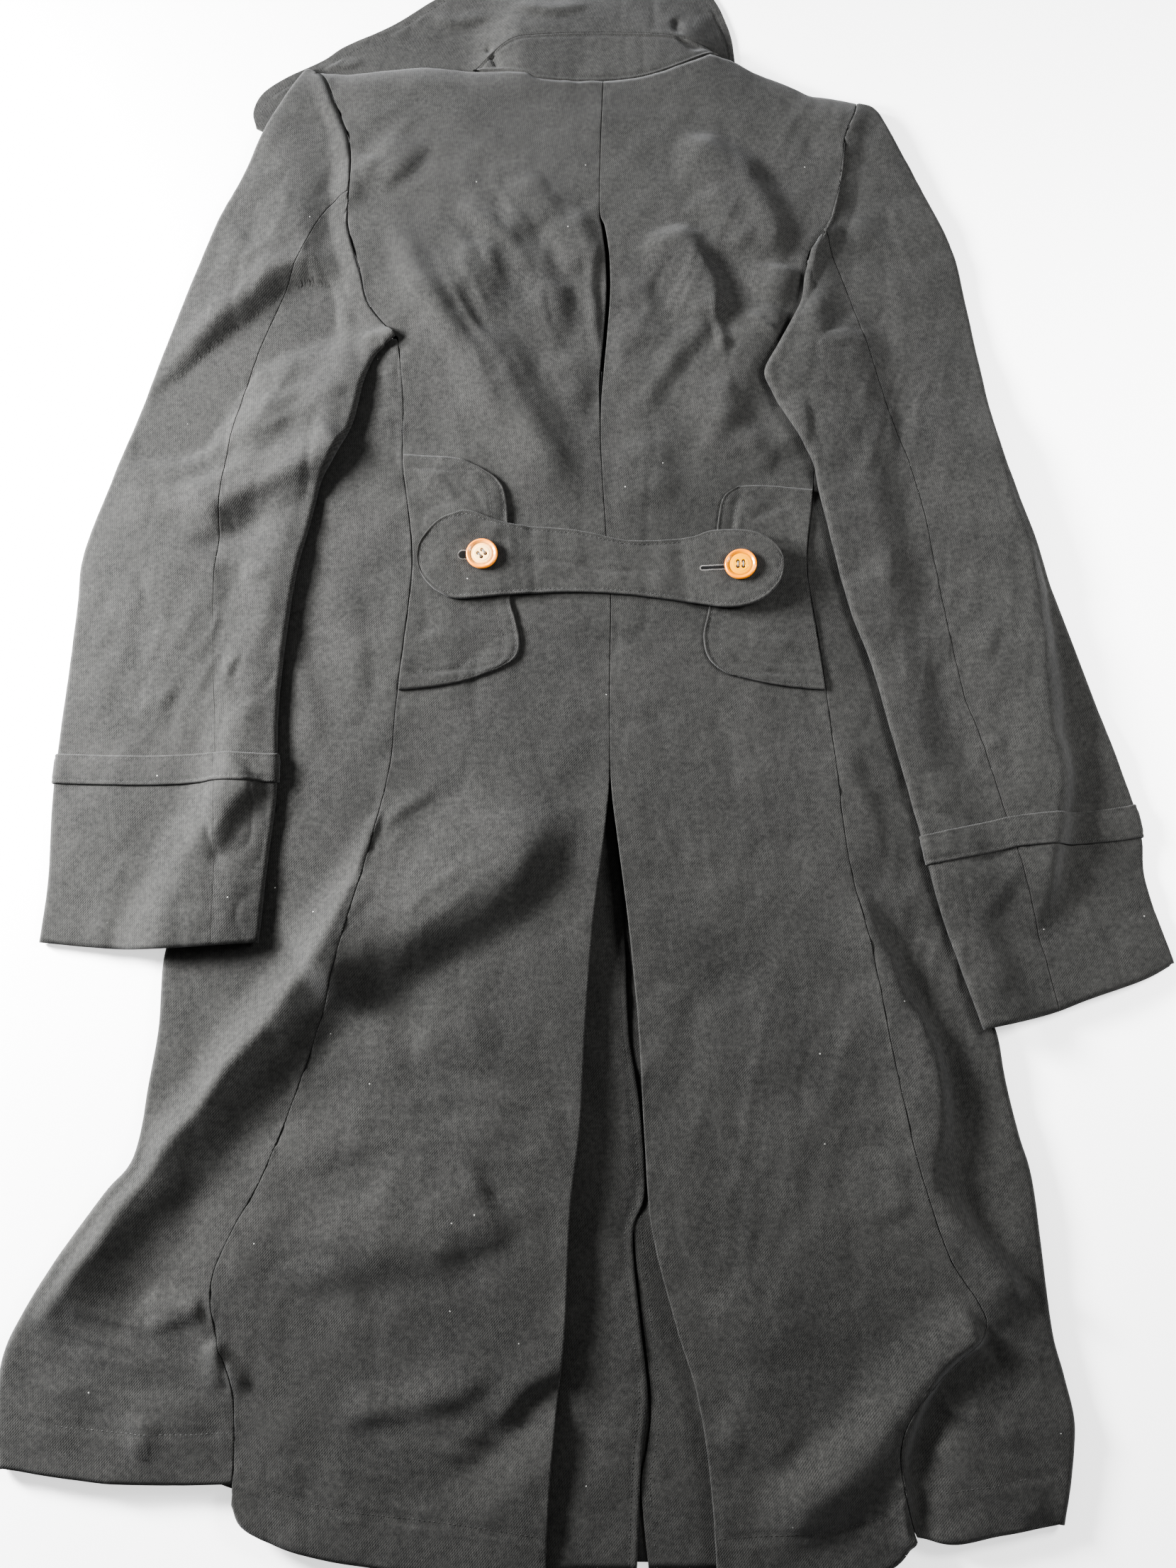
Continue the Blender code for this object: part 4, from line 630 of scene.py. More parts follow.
def graded(width, step=3.0, first=True, last=True):
    """Shares of a width for a panel's columns: even steps in the middle and
    finer ones beside the edges."""
    fine = np.array(EDGE_STEPS)
    start = fine if first else fine[:1]
    end = fine if last else fine[:1]
    count = max(int((width - start[-1] - end[-1]) / step), 2)
    middle = np.linspace(start[-1], width - end[-1], count + 1)
    return np.concatenate([start[:-1], middle, width - end[::-1][1:]]) / width


def coons(top, bottom, left, right, shares):
    """A plan patch between four lines. Rows run straight from the left line to
    the right one at the given shares, and the top and bottom lines bend the
    rows near them, fading with the cube of the distance."""
    v = np.linspace(0, 1, len(left))[:, None, None]
    u = np.asarray(shares)[None, :, None]
    upper, lower = resample(top, shares), resample(bottom, shares)
    grid = left[:, None] * (1 - u) + right[:, None] * u
    bend_top = upper - (left[0] * (1 - u[0]) + right[0] * u[0])
    bend_bottom = lower - (left[-1] * (1 - u[0]) + right[-1] * u[0])
    grid = grid + (1 - v) ** 3 * bend_top[None] + v ** 3 * bend_bottom[None]
    grid[:, 0], grid[:, -1] = left, right
    return grid


print("columns over 180 mm:", len(graded(180)))

# %% Normals, rolled edges and distances
def surface_normals(points):
    """Unit normals of a grid of points, from the cross product of its two directions."""
    normal = np.cross(np.gradient(points, axis=1), np.gradient(points, axis=0))
    return normal / np.maximum(np.linalg.norm(normal, axis=2, keepdims=True), 1e-9)


def edge_roll(distance, radius, depth):
    """How far a rolled edge drops: a quarter circle of the given radius,
    scaled to the depth."""
    near = np.clip(1 - distance / radius, 0, 1)
    return depth * (1 - np.sqrt(1 - near ** 2))


def column_distance(grid, last=False):
    """Distance of each point from its row's first or last column, along the row."""
    step = np.linalg.norm(np.diff(grid[..., :2], axis=1), axis=2)
    run = np.concatenate([np.zeros((len(grid), 1)), np.cumsum(step, axis=1)], axis=1)
    return run[:, -1:] - run if last else run


def row_distance(grid, last=False):
    """Distance of each point from its column's first or last row, down the column."""
    step = np.linalg.norm(np.diff(grid[..., :2], axis=0), axis=2)
    run = np.concatenate([np.zeros((1, grid.shape[1])), np.cumsum(step, axis=0)])
    return run[-1:] - run if last else run


def rim_distance(grid):
    """Distance of each point from the nearer of its column's two ends."""
    return np.minimum(row_distance(grid), row_distance(grid, True))


print("a rolled edge drops", edge_roll(np.zeros(1), 1, 0.4)[0], "mm at its rim")

# %% Add a wall of cloth to the scene
coat = bpy.data.collections.new("coat")
bpy.context.scene.collection.children.link(coat)


def add_mesh(name, verts, faces, material, uv=None):
    """A mesh object from arrays of points in metres and of four-sided faces.
    uv holds a pair of metres for each point, along the cloth's two threads."""
    mesh = bpy.data.meshes.new(name)
    mesh.from_pydata(verts.tolist(), [], faces.tolist(), shade_flat=False)
    if uv is not None:
        layer = mesh.uv_layers.new(name="weave")
        layer.data.foreach_set("uv", uv[faces.ravel()].astype(np.float32).ravel())
    mesh.validate()
    mesh.materials.append(material)
    obj = bpy.data.objects.new(name, mesh)
    coat.objects.link(obj)
    return obj


def wall_faces(rows, cols):
    """Four-sided faces of a closed wall over a grid: the outer grid, the inner
    one turned round, and a rim that joins them."""
    index = np.arange(rows * cols).reshape(rows, cols)
    count = rows * cols
    face = np.stack([index[:-1, :-1], index[1:, :-1], index[1:, 1:], index[:-1, 1:]], -1)
    face = face.reshape(-1, 4)
    edge = np.concatenate([index[0, :], index[1:, -1], index[-1, -2::-1], index[-2:0:-1, 0]])
    ahead = np.roll(edge, -1)
    rim = np.column_stack([edge, ahead, ahead + count, edge + count])
    return np.vstack([face, face[:, ::-1] + count, rim])


def add_wall(name, outer, inner, material, turn=0.0):
    """One closed piece of cloth from its outer and inner grids. The weave's
    own coordinates are the plan turned by the grain's angle in degrees."""
    rows, cols = outer.shape[:2]
    points = np.vstack([outer.reshape(-1, 3), inner.reshape(-1, 3)])
    faces = wall_faces(rows, cols)
    a, b, c, d = (points[faces[:, k]] for k in range(4))
    volume = (np.cross(c - a, d - b) * (a + b + c + d) / 4).sum() / 6
    if volume > 0:
        faces = faces[:, ::-1]
    angle = math.radians(turn)
    across, up = points[:, 0], -points[:, 1]
    uv = np.column_stack([across * math.cos(angle) + up * math.sin(angle),
                          up * math.cos(angle) - across * math.sin(angle)]) * MM
    obj = add_mesh(name, place(points), faces, material, uv)
    print(f"{name}: {rows} x {cols} grid, {len(faces) * 2} triangles")
    return obj


def sew(node, name, outer, inner, turn=0.0):
    """Add a wall of the coat's twill and note the solid that it stands for."""
    cloth[node] = add_wall(name, outer, inner, coat_twill, turn)


cloth, grids = {}, {}      # the pieces by their solid, and the grids that others need
print("collection:", coat.name)

# %% [markdown]
# ## Cotton twill
#
# Twill shows fine diagonal ribs, here rising steeply to the right. Close up each is
# a row of little floats. The material makes both from the cloth's own
# coordinates, with a soft fuzz that catches light at the edges, slow changes of
# shade and a few specks of lint.

# %% Small helpers for node trees
def start_material(name):
    """A new material, a function that adds a node to it, sets the node's plain
    inputs and links the rest, and the material's shader."""
    mat = bpy.data.materials.new(name)
    mat.use_nodes = True
    tree = mat.node_tree

    def add(kind, inputs=None, **settings):
        node = tree.nodes.new(kind)
        for key, value in settings.items():
            setattr(node, key, value)
        for key, value in (inputs or {}).items():
            if isinstance(value, bpy.types.NodeSocket):
                tree.links.new(value, node.inputs[key])
            else:
                node.inputs[key].default_value = value
        return node
    return mat, add, tree.nodes["Principled BSDF"]


def math_node(add, operation, *values):
    """The output of one Math node."""
    return add("ShaderNodeMath", dict(enumerate(values)), operation=operation).outputs[0]


def times(add, first, second):
    """The product of two values."""
    return math_node(add, "MULTIPLY", first, second)


def plus(add, first, second):
    """The sum of two values."""
    return math_node(add, "ADD", first, second)


def noise(add, vector, scale, detail=2.0, roughness=0.5, distortion=0.0):
    """A soft noise from 0 to 1, with about this many hills to a metre."""
    return add("ShaderNodeTexNoise", {
        "Vector": vector, "Scale": scale, "Detail": detail, "Roughness": roughness,
        "Distortion": distortion}).outputs[0]


def remap(add, value, low, high, bottom=0.0, top=1.0, **settings):
    """A value stretched from one range to another and held inside it."""
    return add("ShaderNodeMapRange", {
        "Value": value, "From Min": low, "From Max": high, "To Min": bottom,
        "To Max": top}, **settings).outputs[0]


def blend(add, share, first, second):
    """A colour between two others."""
    return add("ShaderNodeMix", {0: share, 6: first, 7: second}, data_type="RGBA").outputs[2]


def finish_material(mat, add, shader, colour, height, strength, depth, values):
    """Link the colour and the bump, and set the shader's plain values."""
    bump = add("ShaderNodeBump", {"Height": height, "Strength": strength, "Distance": depth})
    mat.node_tree.links.new(colour, shader.inputs["Base Color"])
    mat.node_tree.links.new(bump.outputs[0], shader.inputs["Normal"])
    for key, value in values.items():
        shader.inputs[key].default_value = value
    print(f"{mat.name}: {len(mat.node_tree.nodes)} nodes")
    return mat


print("helpers for a sum, a product, a noise, a range and a colour mix")

# %% The twill itself
RIB_PITCH = 0.00115  # metres from one diagonal rib to the next
RIB_ANGLE = math.radians(50)
FLOAT_LENGTH = 0.0021  # metres of one float along a rib
TWILL_DARK = (0.006, 0.0063, 0.0062, 1)
TWILL_LIGHT = (0.059, 0.058, 0.055, 1)
LINT = (0.42, 0.42, 0.4, 1)
WOBBLE = 0.0004  # metres by which the ribs stray
SPECKS_PER_METRE, SPECK_SIZE, SPECK_SHARE = 75.0, 0.035, 0.1


def diagonal_weave(add, uv, rib):
    """Ribs as a sine across them, and floats as a sine along them whose phase
    shifts by half from rib to rib, both weaker where a noise says worn. The
    distance across the ribs is the plan turned by their angle."""
    spot = add("ShaderNodeSeparateXYZ", {0: uv}).outputs
    steep, level = math.sin(RIB_ANGLE), math.cos(RIB_ANGLE)
    cross = math_node(add, "MULTIPLY_ADD", spot[1], -level, times(add, spot[0], steep))
    cross = plus(add, cross, times(add, noise(add, uv, 420.0), WOBBLE))
    along = math_node(add, "MULTIPLY_ADD", spot[1], steep, times(add, spot[0], level))
    phase = times(add, cross, 2 * math.pi / RIB_PITCH)
    steps = times(add, along, 2 * math.pi / FLOAT_LENGTH)
    ribs = math_node(add, "SINE", phase)
    floats = math_node(add, "SINE", plus(add, steps, times(add, phase, 0.5)))
    worn = remap(add, noise(add, uv, 55.0, 3.0, 0.6), 0.32, 0.68, 0.25)
    weave = plus(add, times(add, ribs, 0.3 * rib), times(add, floats, 0.15 * rib))
    return times(add, weave, worn)


def lint_specks(add, spot):
    """1 in a small disc round a few of the cells' middles, 0 elsewhere."""
    cells = add("ShaderNodeTexVoronoi", {"Vector": spot, "Scale": SPECKS_PER_METRE}).outputs
    near = math_node(add, "LESS_THAN", cells["Distance"], SPECK_SIZE)
    red = add("ShaderNodeSeparateColor", {0: cells["Color"]}).outputs[0]
    return times(add, near, math_node(add, "LESS_THAN", red, SPECK_SHARE))


def twill(name, dark, light, rib=1.0):
    """The shade is a sum of the weave, a fine fuzz, a slow fading and a rub
    over the surface, stretched between the two colours, with lint on top. The
    bump is the weave and the fuzz."""
    mat, add, shader = start_material(name)
    uv = add("ShaderNodeUVMap", uv_map="weave").outputs[0]
    spot = add("ShaderNodeTexCoord").outputs["Object"]
    weave = diagonal_weave(add, uv, rib)
    fuzz = noise(add, uv, 2600.0, 3.0, 0.7)
    fade = noise(add, spot, 17.0, 5.0, 0.62)
    rub = noise(add, spot, 330.0, 3.0, 0.7)
    tone = plus(add, times(add, weave, 0.6), times(add, fuzz, 0.9))
    tone = plus(add, tone, times(add, fade, 0.45))
    tone = plus(add, tone, times(add, rub, 0.85))
    colour = blend(add, remap(add, tone, 0.68, 1.52), dark, light)
    colour = blend(add, times(add, lint_specks(add, spot), 0.85), colour, LINT)
    height = plus(add, weave, times(add, fuzz, 0.8))
    return finish_material(mat, add, shader, colour, height, 0.7, 0.00022, {
        "Roughness": 0.88, "Specular IOR Level": 0.22, "Sheen Weight": 0.16,
        "Sheen Roughness": 0.55, "Sheen Tint": (0.75, 0.76, 0.78, 1)})


coat_twill = twill("charcoal twill", TWILL_DARK, TWILL_LIGHT)

# %% [markdown]
# ## Seams
#
# Two panels meet in a line that the stitches pull down, and the thread's pull
# puckers the cloth beside it. The pucker is noise along the seam that fades a
# few millimetres away, the roll is a quarter circle.

# %% Pulled-down and puckered edges
SEAM_ROLL, SEAM_DEPTH = 1.3, 0.13
FOLD_ROLL, FOLD_DEPTH = 0.9, 0.4
PUCKER, PUCKER_REACH, PUCKER_LENGTH = 0.55, 6.0, 9.0
RISE, RISE_AT, RISE_WIDTH = 0.35, 3.2, 2.2  # the soft rise beside a line of stitches


def seam_roll(distance):
    """How far the cloth drops beside a seam."""
    return edge_roll(distance, SEAM_ROLL, SEAM_DEPTH)


def fold_roll(distance):
    """How far it drops beside a folded edge, such as a hem."""
    return edge_roll(distance, FOLD_ROLL, FOLD_DEPTH)


def pucker(distance, across, down, seed, height=PUCKER):
    """Short waves along a seam: noise in the plan, squeezed by how near the
    seam is, with an exponential fade."""
    waves = ripple(across, down, PUCKER_LENGTH, seed)
    waves = waves + 0.5 * ripple(across, down, PUCKER_LENGTH / 2, seed + 1)
    return height * waves * np.exp(-distance / PUCKER_REACH)


def groove(gap, depth, width=1.6):
    """The dip that a line of stitches pulls into cloth, and the soft rise
    beside it: a narrow bell below a wider, weaker one."""
    beside = np.exp(-((np.abs(gap) - RISE_AT) / RISE_WIDTH) ** 2)
    return -depth * np.exp(-(gap / width) ** 2) + RISE * depth * beside


print("groove in the middle:", round(float(groove(np.zeros(1), 0.5)[0]), 2), "mm")

# %% [markdown]
# ## The back
#
# Two halves meet at the centre seam. Between the shoulder blades the seam opens
# into a pleat, and below the waist into the vent. There the edge is a fold, so
# it rolls over further than at the seam.

# %% The long lines of the back
ROW_STEP = 3.0  # millimetres between rows
ARM_LENGTH, PRINCESS_LENGTH, BACK_WIDTH = 240, 790, 190
PLEAT_OPEN = (112.0, 262.0)
VENT_OPEN = 520.0
HEM_DEPTH = 28.0  # the hem's stitching lies this far above its edge
ARM_END = 214.0  # the centre seam's place level with the underarm
PLEAT_FADE, VENT_FADE = (14, 50), 40  # lengths over which they open and close
HEM_GROOVE, HEM_RIPPLE, HEM_NET = 0.8, 0.5, 16
TABLE_GAP = 0.3  # the cloth's inner face stays this far over the table


def body_line(side):
    """Armhole and princess seam as one line, with rows about three apart."""
    arm, low = spline(ARMHOLE[side], 400), spline(PRINCESS[side], 700)
    arm_rows, low_rows = int(ARM_LENGTH / ROW_STEP), int(PRINCESS_LENGTH / ROW_STEP)
    upper = resample(arm, np.linspace(0, 1, arm_rows + 1))
    lower = resample(low, np.linspace(0, 1, low_rows + 1))
    return np.vstack([upper, lower[1:]]), arm_rows


def centre_line(side, arm_rows, rows):
    """The centre seam with a point for each row of the outer seam."""
    line = spline(CENTRE_BACK[side], 900)
    down = np.concatenate([np.linspace(0, ARM_END, arm_rows + 1),
                           np.linspace(ARM_END, line[-1, 1], rows - arm_rows)[1:]])
    return np.column_stack([np.interp(down, line[:, 1], line[:, 0]), down])


def open_share(down):
    """1 where the centre is open, in the pleat and in the vent, and 0 where
    it is sewn, with soft ends."""
    start, end = PLEAT_OPEN
    pleat = smooth((down - start) / PLEAT_FADE[0]) * smooth((end - down) / PLEAT_FADE[1])
    return np.maximum(pleat, smooth((down - VENT_OPEN) / VENT_FADE))


def inner_layer(outer, up):
    """The grid one cloth's thickness inside, straight below at the rim and
    never under the table."""
    inner = outer - surface_normals(outer) * up * CLOTH
    inner[:, [0, -1], :2] = outer[:, [0, -1], :2]
    inner[[0, -1], :, :2] = outer[[0, -1], :, :2]
    inner[..., 2] = np.maximum(inner[..., 2], TABLE_GAP)
    return inner


print("rows of the back:", len(body_line("left")[0]))

# %% Back panels
def back_panel(side, sign):
    """The outer grid of one half of the back."""
    outer_line, arm_rows = body_line(side)
    middle = centre_line(side, arm_rows, len(outer_line))
    top = np.vstack([spline(NECK[side], 120), spline(SHOULDER[side], 300)[1:]])
    hem = spline(BACK_HEM[side], 300)
    left = middle + side_normals(middle) * sign * SEAM / 2
    right = outer_line - side_normals(outer_line) * sign * SEAM / 2
    left[0], right[0], left[-1], right[-1] = top[0], top[-1], hem[0], hem[-1]
    plan = coons(top, hem, left, right, graded(BACK_WIDTH))
    across, down = plan[..., 0], plan[..., 1]
    z = body_top(across, down)
    from_centre, from_seam = column_distance(plan), column_distance(plan, True)
    from_neck, from_hem = row_distance(plan), row_distance(plan, True)
    opened = open_share(middle[:, 1])[:, None]
    z = z - seam_roll(from_centre) * (1 - opened) - fold_roll(from_centre) * opened
    z = z - seam_roll(from_seam)
    z = z - seam_roll(from_neck) - fold_roll(from_hem)
    z = z + pucker(from_centre, across, down, 31, PUCKER * 0.6)
    z = z + pucker(from_seam, across, down, 33) + pucker(from_neck, across, down, 35)
    to_stitches = from_hem - HEM_DEPTH
    z = z + groove(to_stitches, HEM_GROOVE) + pucker(np.abs(to_stitches), across, down, 37)
    z = z + HEM_RIPPLE * ripple(across, down, HEM_NET, 38) * smooth(1 - from_hem / HEM_DEPTH)
    return np.dstack([plan, z])


for side, sign in SIDES.items():
    grids["back", side] = outer = back_panel(side, sign)
    sew("back_" + side, "back_cloth_" + side, outer, inner_layer(outer, sign))

# %% [markdown]
# ## The sides
#
# Each side panel starts at the princess seam, runs out to the side fold, rolls
# over it and ends a little way under the coat, where the front begins.

# %% A rolled fold
SIDE_TURN = 20.0  # cloth that turns under the coat
SIDE_WIDTH = 80
NOSE = 9  # columns over a rolled fold
NOSE_LEAST, NOSE_SHARE = 1.2, 0.45  # how far it stands out, and its share of the height
TIP_SHIFT, TIP_FADE = (7.0, -5.0), 3.5  # the side's first rows run out under the sleeve
HEAD_GAP = (0.4, 1.2)  # keeps the panel's first corner off its neighbours
PROBE = 5  # the height beside the fold is read this far inside it
CALM = 12  # stitches and puckers fade out this near to the fold


def nose_reach(top, bottom):
    """How far a fold stands out past the two layers it joins."""
    return NOSE_LEAST + NOSE_SHARE * (top - bottom)


def nose(plan_edge, inward, reach, top, bottom):
    """A rounded fold between an upper and a lower layer: half an ellipse that
    starts at the given reach inside the edge line and touches that line."""
    angle = np.linspace(math.pi / 2, -math.pi / 2, NOSE + 1)
    out = reach[:, None] * (1 - np.cos(angle))
    plan = plan_edge[:, None] + inward[:, None] * out[..., None]
    z = ((top + bottom) / 2)[:, None] + ((top - bottom) / 2)[:, None] * np.sin(angle)
    return np.dstack([plan, z])


print("a fold 10 mm high stands out", nose_reach(10, 0), "mm")

# %% Side panels
def side_panel(side, sign):
    """The panel's outer grid and the line where it ends under the coat."""
    seam_line, arm_rows = body_line(side)
    seam_line = seam_line[arm_rows:].copy()
    keep = seam_line[:, 1] <= SIDE_HEM[side][0][1]
    seam_line = resample(np.vstack([seam_line[keep], [SIDE_HEM[side][0]]]),
                         np.linspace(0, 1, len(seam_line)))
    edge = resample(spline(SIDE_EDGE[side], 600), np.linspace(0, 1, len(seam_line)))
    tip = np.exp(-np.arange(len(edge)) / TIP_FADE)[:, None]
    edge = edge + tip * (sign * TIP_SHIFT[0], TIP_SHIFT[1])
    start = seam_line + side_normals(seam_line) * sign * SEAM / 2
    start[0] += (sign * HEAD_GAP[0], HEAD_GAP[1])
    inward = -side_normals(edge) * sign
    probe = edge + inward * PROBE
    reach = nose_reach(body_top(probe[:, 0], probe[:, 1]), 0.0)
    fold_line = edge + inward * reach[:, None]
    fold_z = body_top(fold_line[:, 0], fold_line[:, 1])
    hem = spline([start[-1], *SIDE_HEM[side][1:-1], fold_line[-1]], 200)
    head = np.vstack([start[0], fold_line[0]])
    plan = coons(head, hem, start, fold_line, graded(SIDE_WIDTH, last=False))
    across, down = plan[..., 0], plan[..., 1]
    from_seam, from_hem = column_distance(plan), row_distance(plan, True)
    to_fold = column_distance(plan, True)
    z = body_top(across, down) - seam_roll(from_seam)
    z = z + pucker(from_seam, across, down, 41)
    detail = smooth(to_fold / CALM)
    to_stitches = from_hem - HEM_DEPTH
    rim = fold_roll(from_hem)
    z = z + (groove(to_stitches, HEM_GROOVE) - rim) * detail
    z = z + pucker(np.abs(to_stitches), across, down, 37) * detail
    upper = np.dstack([plan, z])
    grids["side", side] = upper
    turn = nose(edge, inward, reach, fold_z, 0 * fold_z)
    last = edge + inward * (reach + SIDE_TURN)[:, None]
    share = np.linspace(0, 1, 4)[1:, None]
    under = turn[:, -1:, :2] + (last[:, None] - turn[:, -1:, :2]) * share
    lower = np.dstack([under, np.zeros(under.shape[:2])])
    return np.concatenate([upper, turn[:, 1:], lower], axis=1), last


turn_lines = {}
for side, sign in SIDES.items():
    outer, turn_lines[side] = side_panel(side, sign)
    sew("side_panel_" + side, "side_cloth_" + side, outer, inner_layer(outer, sign))

# %% [markdown]
# ## The fronts
#
# The two fronts lie flat on the table under the coat. The wearer's left one lies
# on the right one where they overlap. Nothing of them shows from above, so they
# are plain.

# %% Front panels
OVERLAP = 75.0  # how far each front passes the centre
FRONT_SKIP = 6  # every sixth row is enough below
FRONT_ROWS, FRONT_COLUMNS = 14, 31  # rows beside the armhole, and all columns
LIFT_STEP, LIFT_FROM, LIFT_RUN = 1.9, 120, 38  # the left front climbs onto the right one
FRONT_START = 0.09  # the front's first place down the armhole


def front_panel(side, sign):
    """A plain panel between the armhole with the side seam and the edge."""
    arm = resample(spline(ARMHOLE[side], 400), np.linspace(FRONT_START, 1, FRONT_ROWS))
    arm = arm - side_normals(arm) * sign * SEAM
    turn = turn_lines[side][FRONT_SKIP::FRONT_SKIP]
    turn = turn - side_normals(turn) * sign * SEAM
    first = np.vstack([arm, turn])
    top, hem = FRONT_TOP[side], FRONT_HEM[side]
    top = spline([first[0]] + top[1:], 200)
    hem = spline([first[-1]] + hem[1:], 200)
    down = np.linspace(top[-1, 1], hem[-1, 1], len(first))
    last = np.column_stack([np.full(len(first), -sign * OVERLAP), down])
    plan = coons(top, hem, first, last, np.linspace(0, 1, FRONT_COLUMNS))
    lift = 0 * plan[..., 0]
    if side == "left":
        lift = LIFT_STEP * smooth((plan[..., 0] + LIFT_FROM) / LIFT_RUN)
    return np.dstack([plan, lift])


for side, sign in SIDES.items():
    outer = front_panel(side, sign)
    sew("front_" + side, "front_cloth_" + side, outer, outer + (0, 0, CLOTH))

# %% [markdown]
# ## The sleeves
#
# A sleeve is a flattened tube of two pieces, the top sleeve and the under
# sleeve. The seam between them shows along its back. Each piece runs from that
# seam over its own edge fold to the hidden seam below.

# %% How a sleeve lies
SLEEVE_THICKNESS = [(0.0, 12.0), (0.2, 11.5), (0.5, 10.0), (1.0, 8.6)]
SLEEVE_RAMP, SLEEVE_CLEAR = 36.0, 2.0  # how it climbs onto the body and clears it
LAY = 0.5  # space between a piece and what it lies on
SLEEVE_LIFT_FROM = {"left": (192.0, 20.0), "right": (98.0, 40.0)}
SLEEVE_SPLIT = {"left": 0.42, "right": 0.53}  # the back seam's place down the armhole
SLEEVE_STOP = {"left": 1.0, "right": 0.6}  # where the sleeve leaves the armhole
SLEEVE_WAVES = ((1.0, 56, 15), (0.7, 29, 16), (0.36, 14, 17), (0.14, 7, 18))
FOLD_SHARE = 0.5  # share of its thickness that a sleeve keeps at its folds
SEAM_SHOWS = {"left": 0.52, "right": 2.0}  # down to here the back seam can be seen
LEAF_GAP, LEAF_RAMP = 6, 26  # the left sleeve's head lies on the collar's wing
ARM_BLEND = 0.12  # share of the sleeve over which it leaves the body's height
SLEEVE_LEAST = 1.5  # least space inside the flattened tube


def sleeve_under(side, across, down):
    """Height of the underside: on the table, or up on the body where the
    sleeve lies over it, with a ramp beside the body's edge."""
    sign = SIDES[side]
    edge = np.vstack([spline(ARMHOLE[side], 80), spline(SIDE_EDGE[side], 120)])
    gap, _ = nearest(edge, across, down)
    start, run = SLEEVE_LIFT_FROM[side]
    over = smooth((SLEEVE_RAMP - gap * sign) / SLEEVE_RAMP) * smooth((down - start) / run)
    on_body = (body_top(across, down) + SLEEVE_CLEAR) * over
    if side == "right":
        return on_body
    leaf = np.array(LEAF_LOWER[:4])
    limit = np.interp(across, leaf[:, 0], leaf[:, 1])
    on_wing = (CLOTH + LAY) * (1 - smooth((down - limit - LEAF_GAP) / LEAF_RAMP))
    return np.maximum(on_body, on_wing)


def sleeve_top(side, across, down, share, across_share):
    """Height of the upper face: the underside, the thickness of the flattened
    tube on a sine across it, the folds and the waviness, blended into the
    body's height near the armhole."""
    table = np.array(SLEEVE_THICKNESS)
    thick = np.interp(share, table[:, 0], table[:, 1])
    low = sleeve_under(side, across, down)
    own = low + thick * (FOLD_SHARE + (1 - FOLD_SHARE) * np.sin(math.pi * across_share))
    bent_a = across + DRIFT * ripple(across, down, DRIFT_NET, 23)
    bent_d = down + DRIFT * ripple(across, down, DRIFT_NET, 24)
    own = own + fold_heights(SLEEVE_FOLDS[side], bent_a, bent_d)
    own = own + waviness(across, down, SLEEVE_WAVES)
    own = own + drag_lines(SLEEVE_DRAGS[side], bent_a, bent_d)
    joined = body_top(across, down)
    joined = joined + (own - joined) * smooth(share / ARM_BLEND)
    return np.maximum(joined, low + 2 * CLOTH + SLEEVE_LEAST)


print("underside of the left sleeve at its cuff:",
      sleeve_under("left", np.array([-300.0]), np.array([600.0])))

# %% The long lines of a sleeve
ROWS_ABOVE, ROWS_BELOW = 150, 31  # rows above and below the cuff's strap
BAND_ROWS = np.array([0, 0.7, 1.5, 2.6, 4.0, 5.8, 10, 14.2, 16, 17.4, 18.5, 19.3, 20]) / 20
ROW_SPREAD = 1.12  # rows are closer together near the armhole
CUFF_WIDTH, SLEEVE_HALF = 148.0, 95
SEAM_FADE = 0.12  # share of the sleeve over which its seam goes out of sight
FOLD_LEAST = 1.2  # least height of the fold besides its two layers


def sleeve_lines(side):
    """The outer fold, back seam and inner fold with the same rows, which
    include the two edges of the cuff band."""
    lines = [spline(table[side], 900) for table in (SLEEVE_OUTER, BACK_SEAM, SLEEVE_INNER)]
    shares = []
    for k, line in enumerate(lines):
        first = share_at(line, BAND_TOP[side][k])
        second = share_at(line, BAND_BOTTOM[side][k])
        above = np.linspace(0, 1, ROWS_ABOVE + 1) ** ROW_SPREAD * first
        band = first + (second - first) * BAND_ROWS
        below = np.linspace(second, 1, ROWS_BELOW)
        shares.append(np.concatenate([above[:-1], band, below[1:]]))
    return [resample(line, at) for line, at in zip(lines, shares)], shares[1]


print("rows of a sleeve:", len(sleeve_lines("left")[1]))

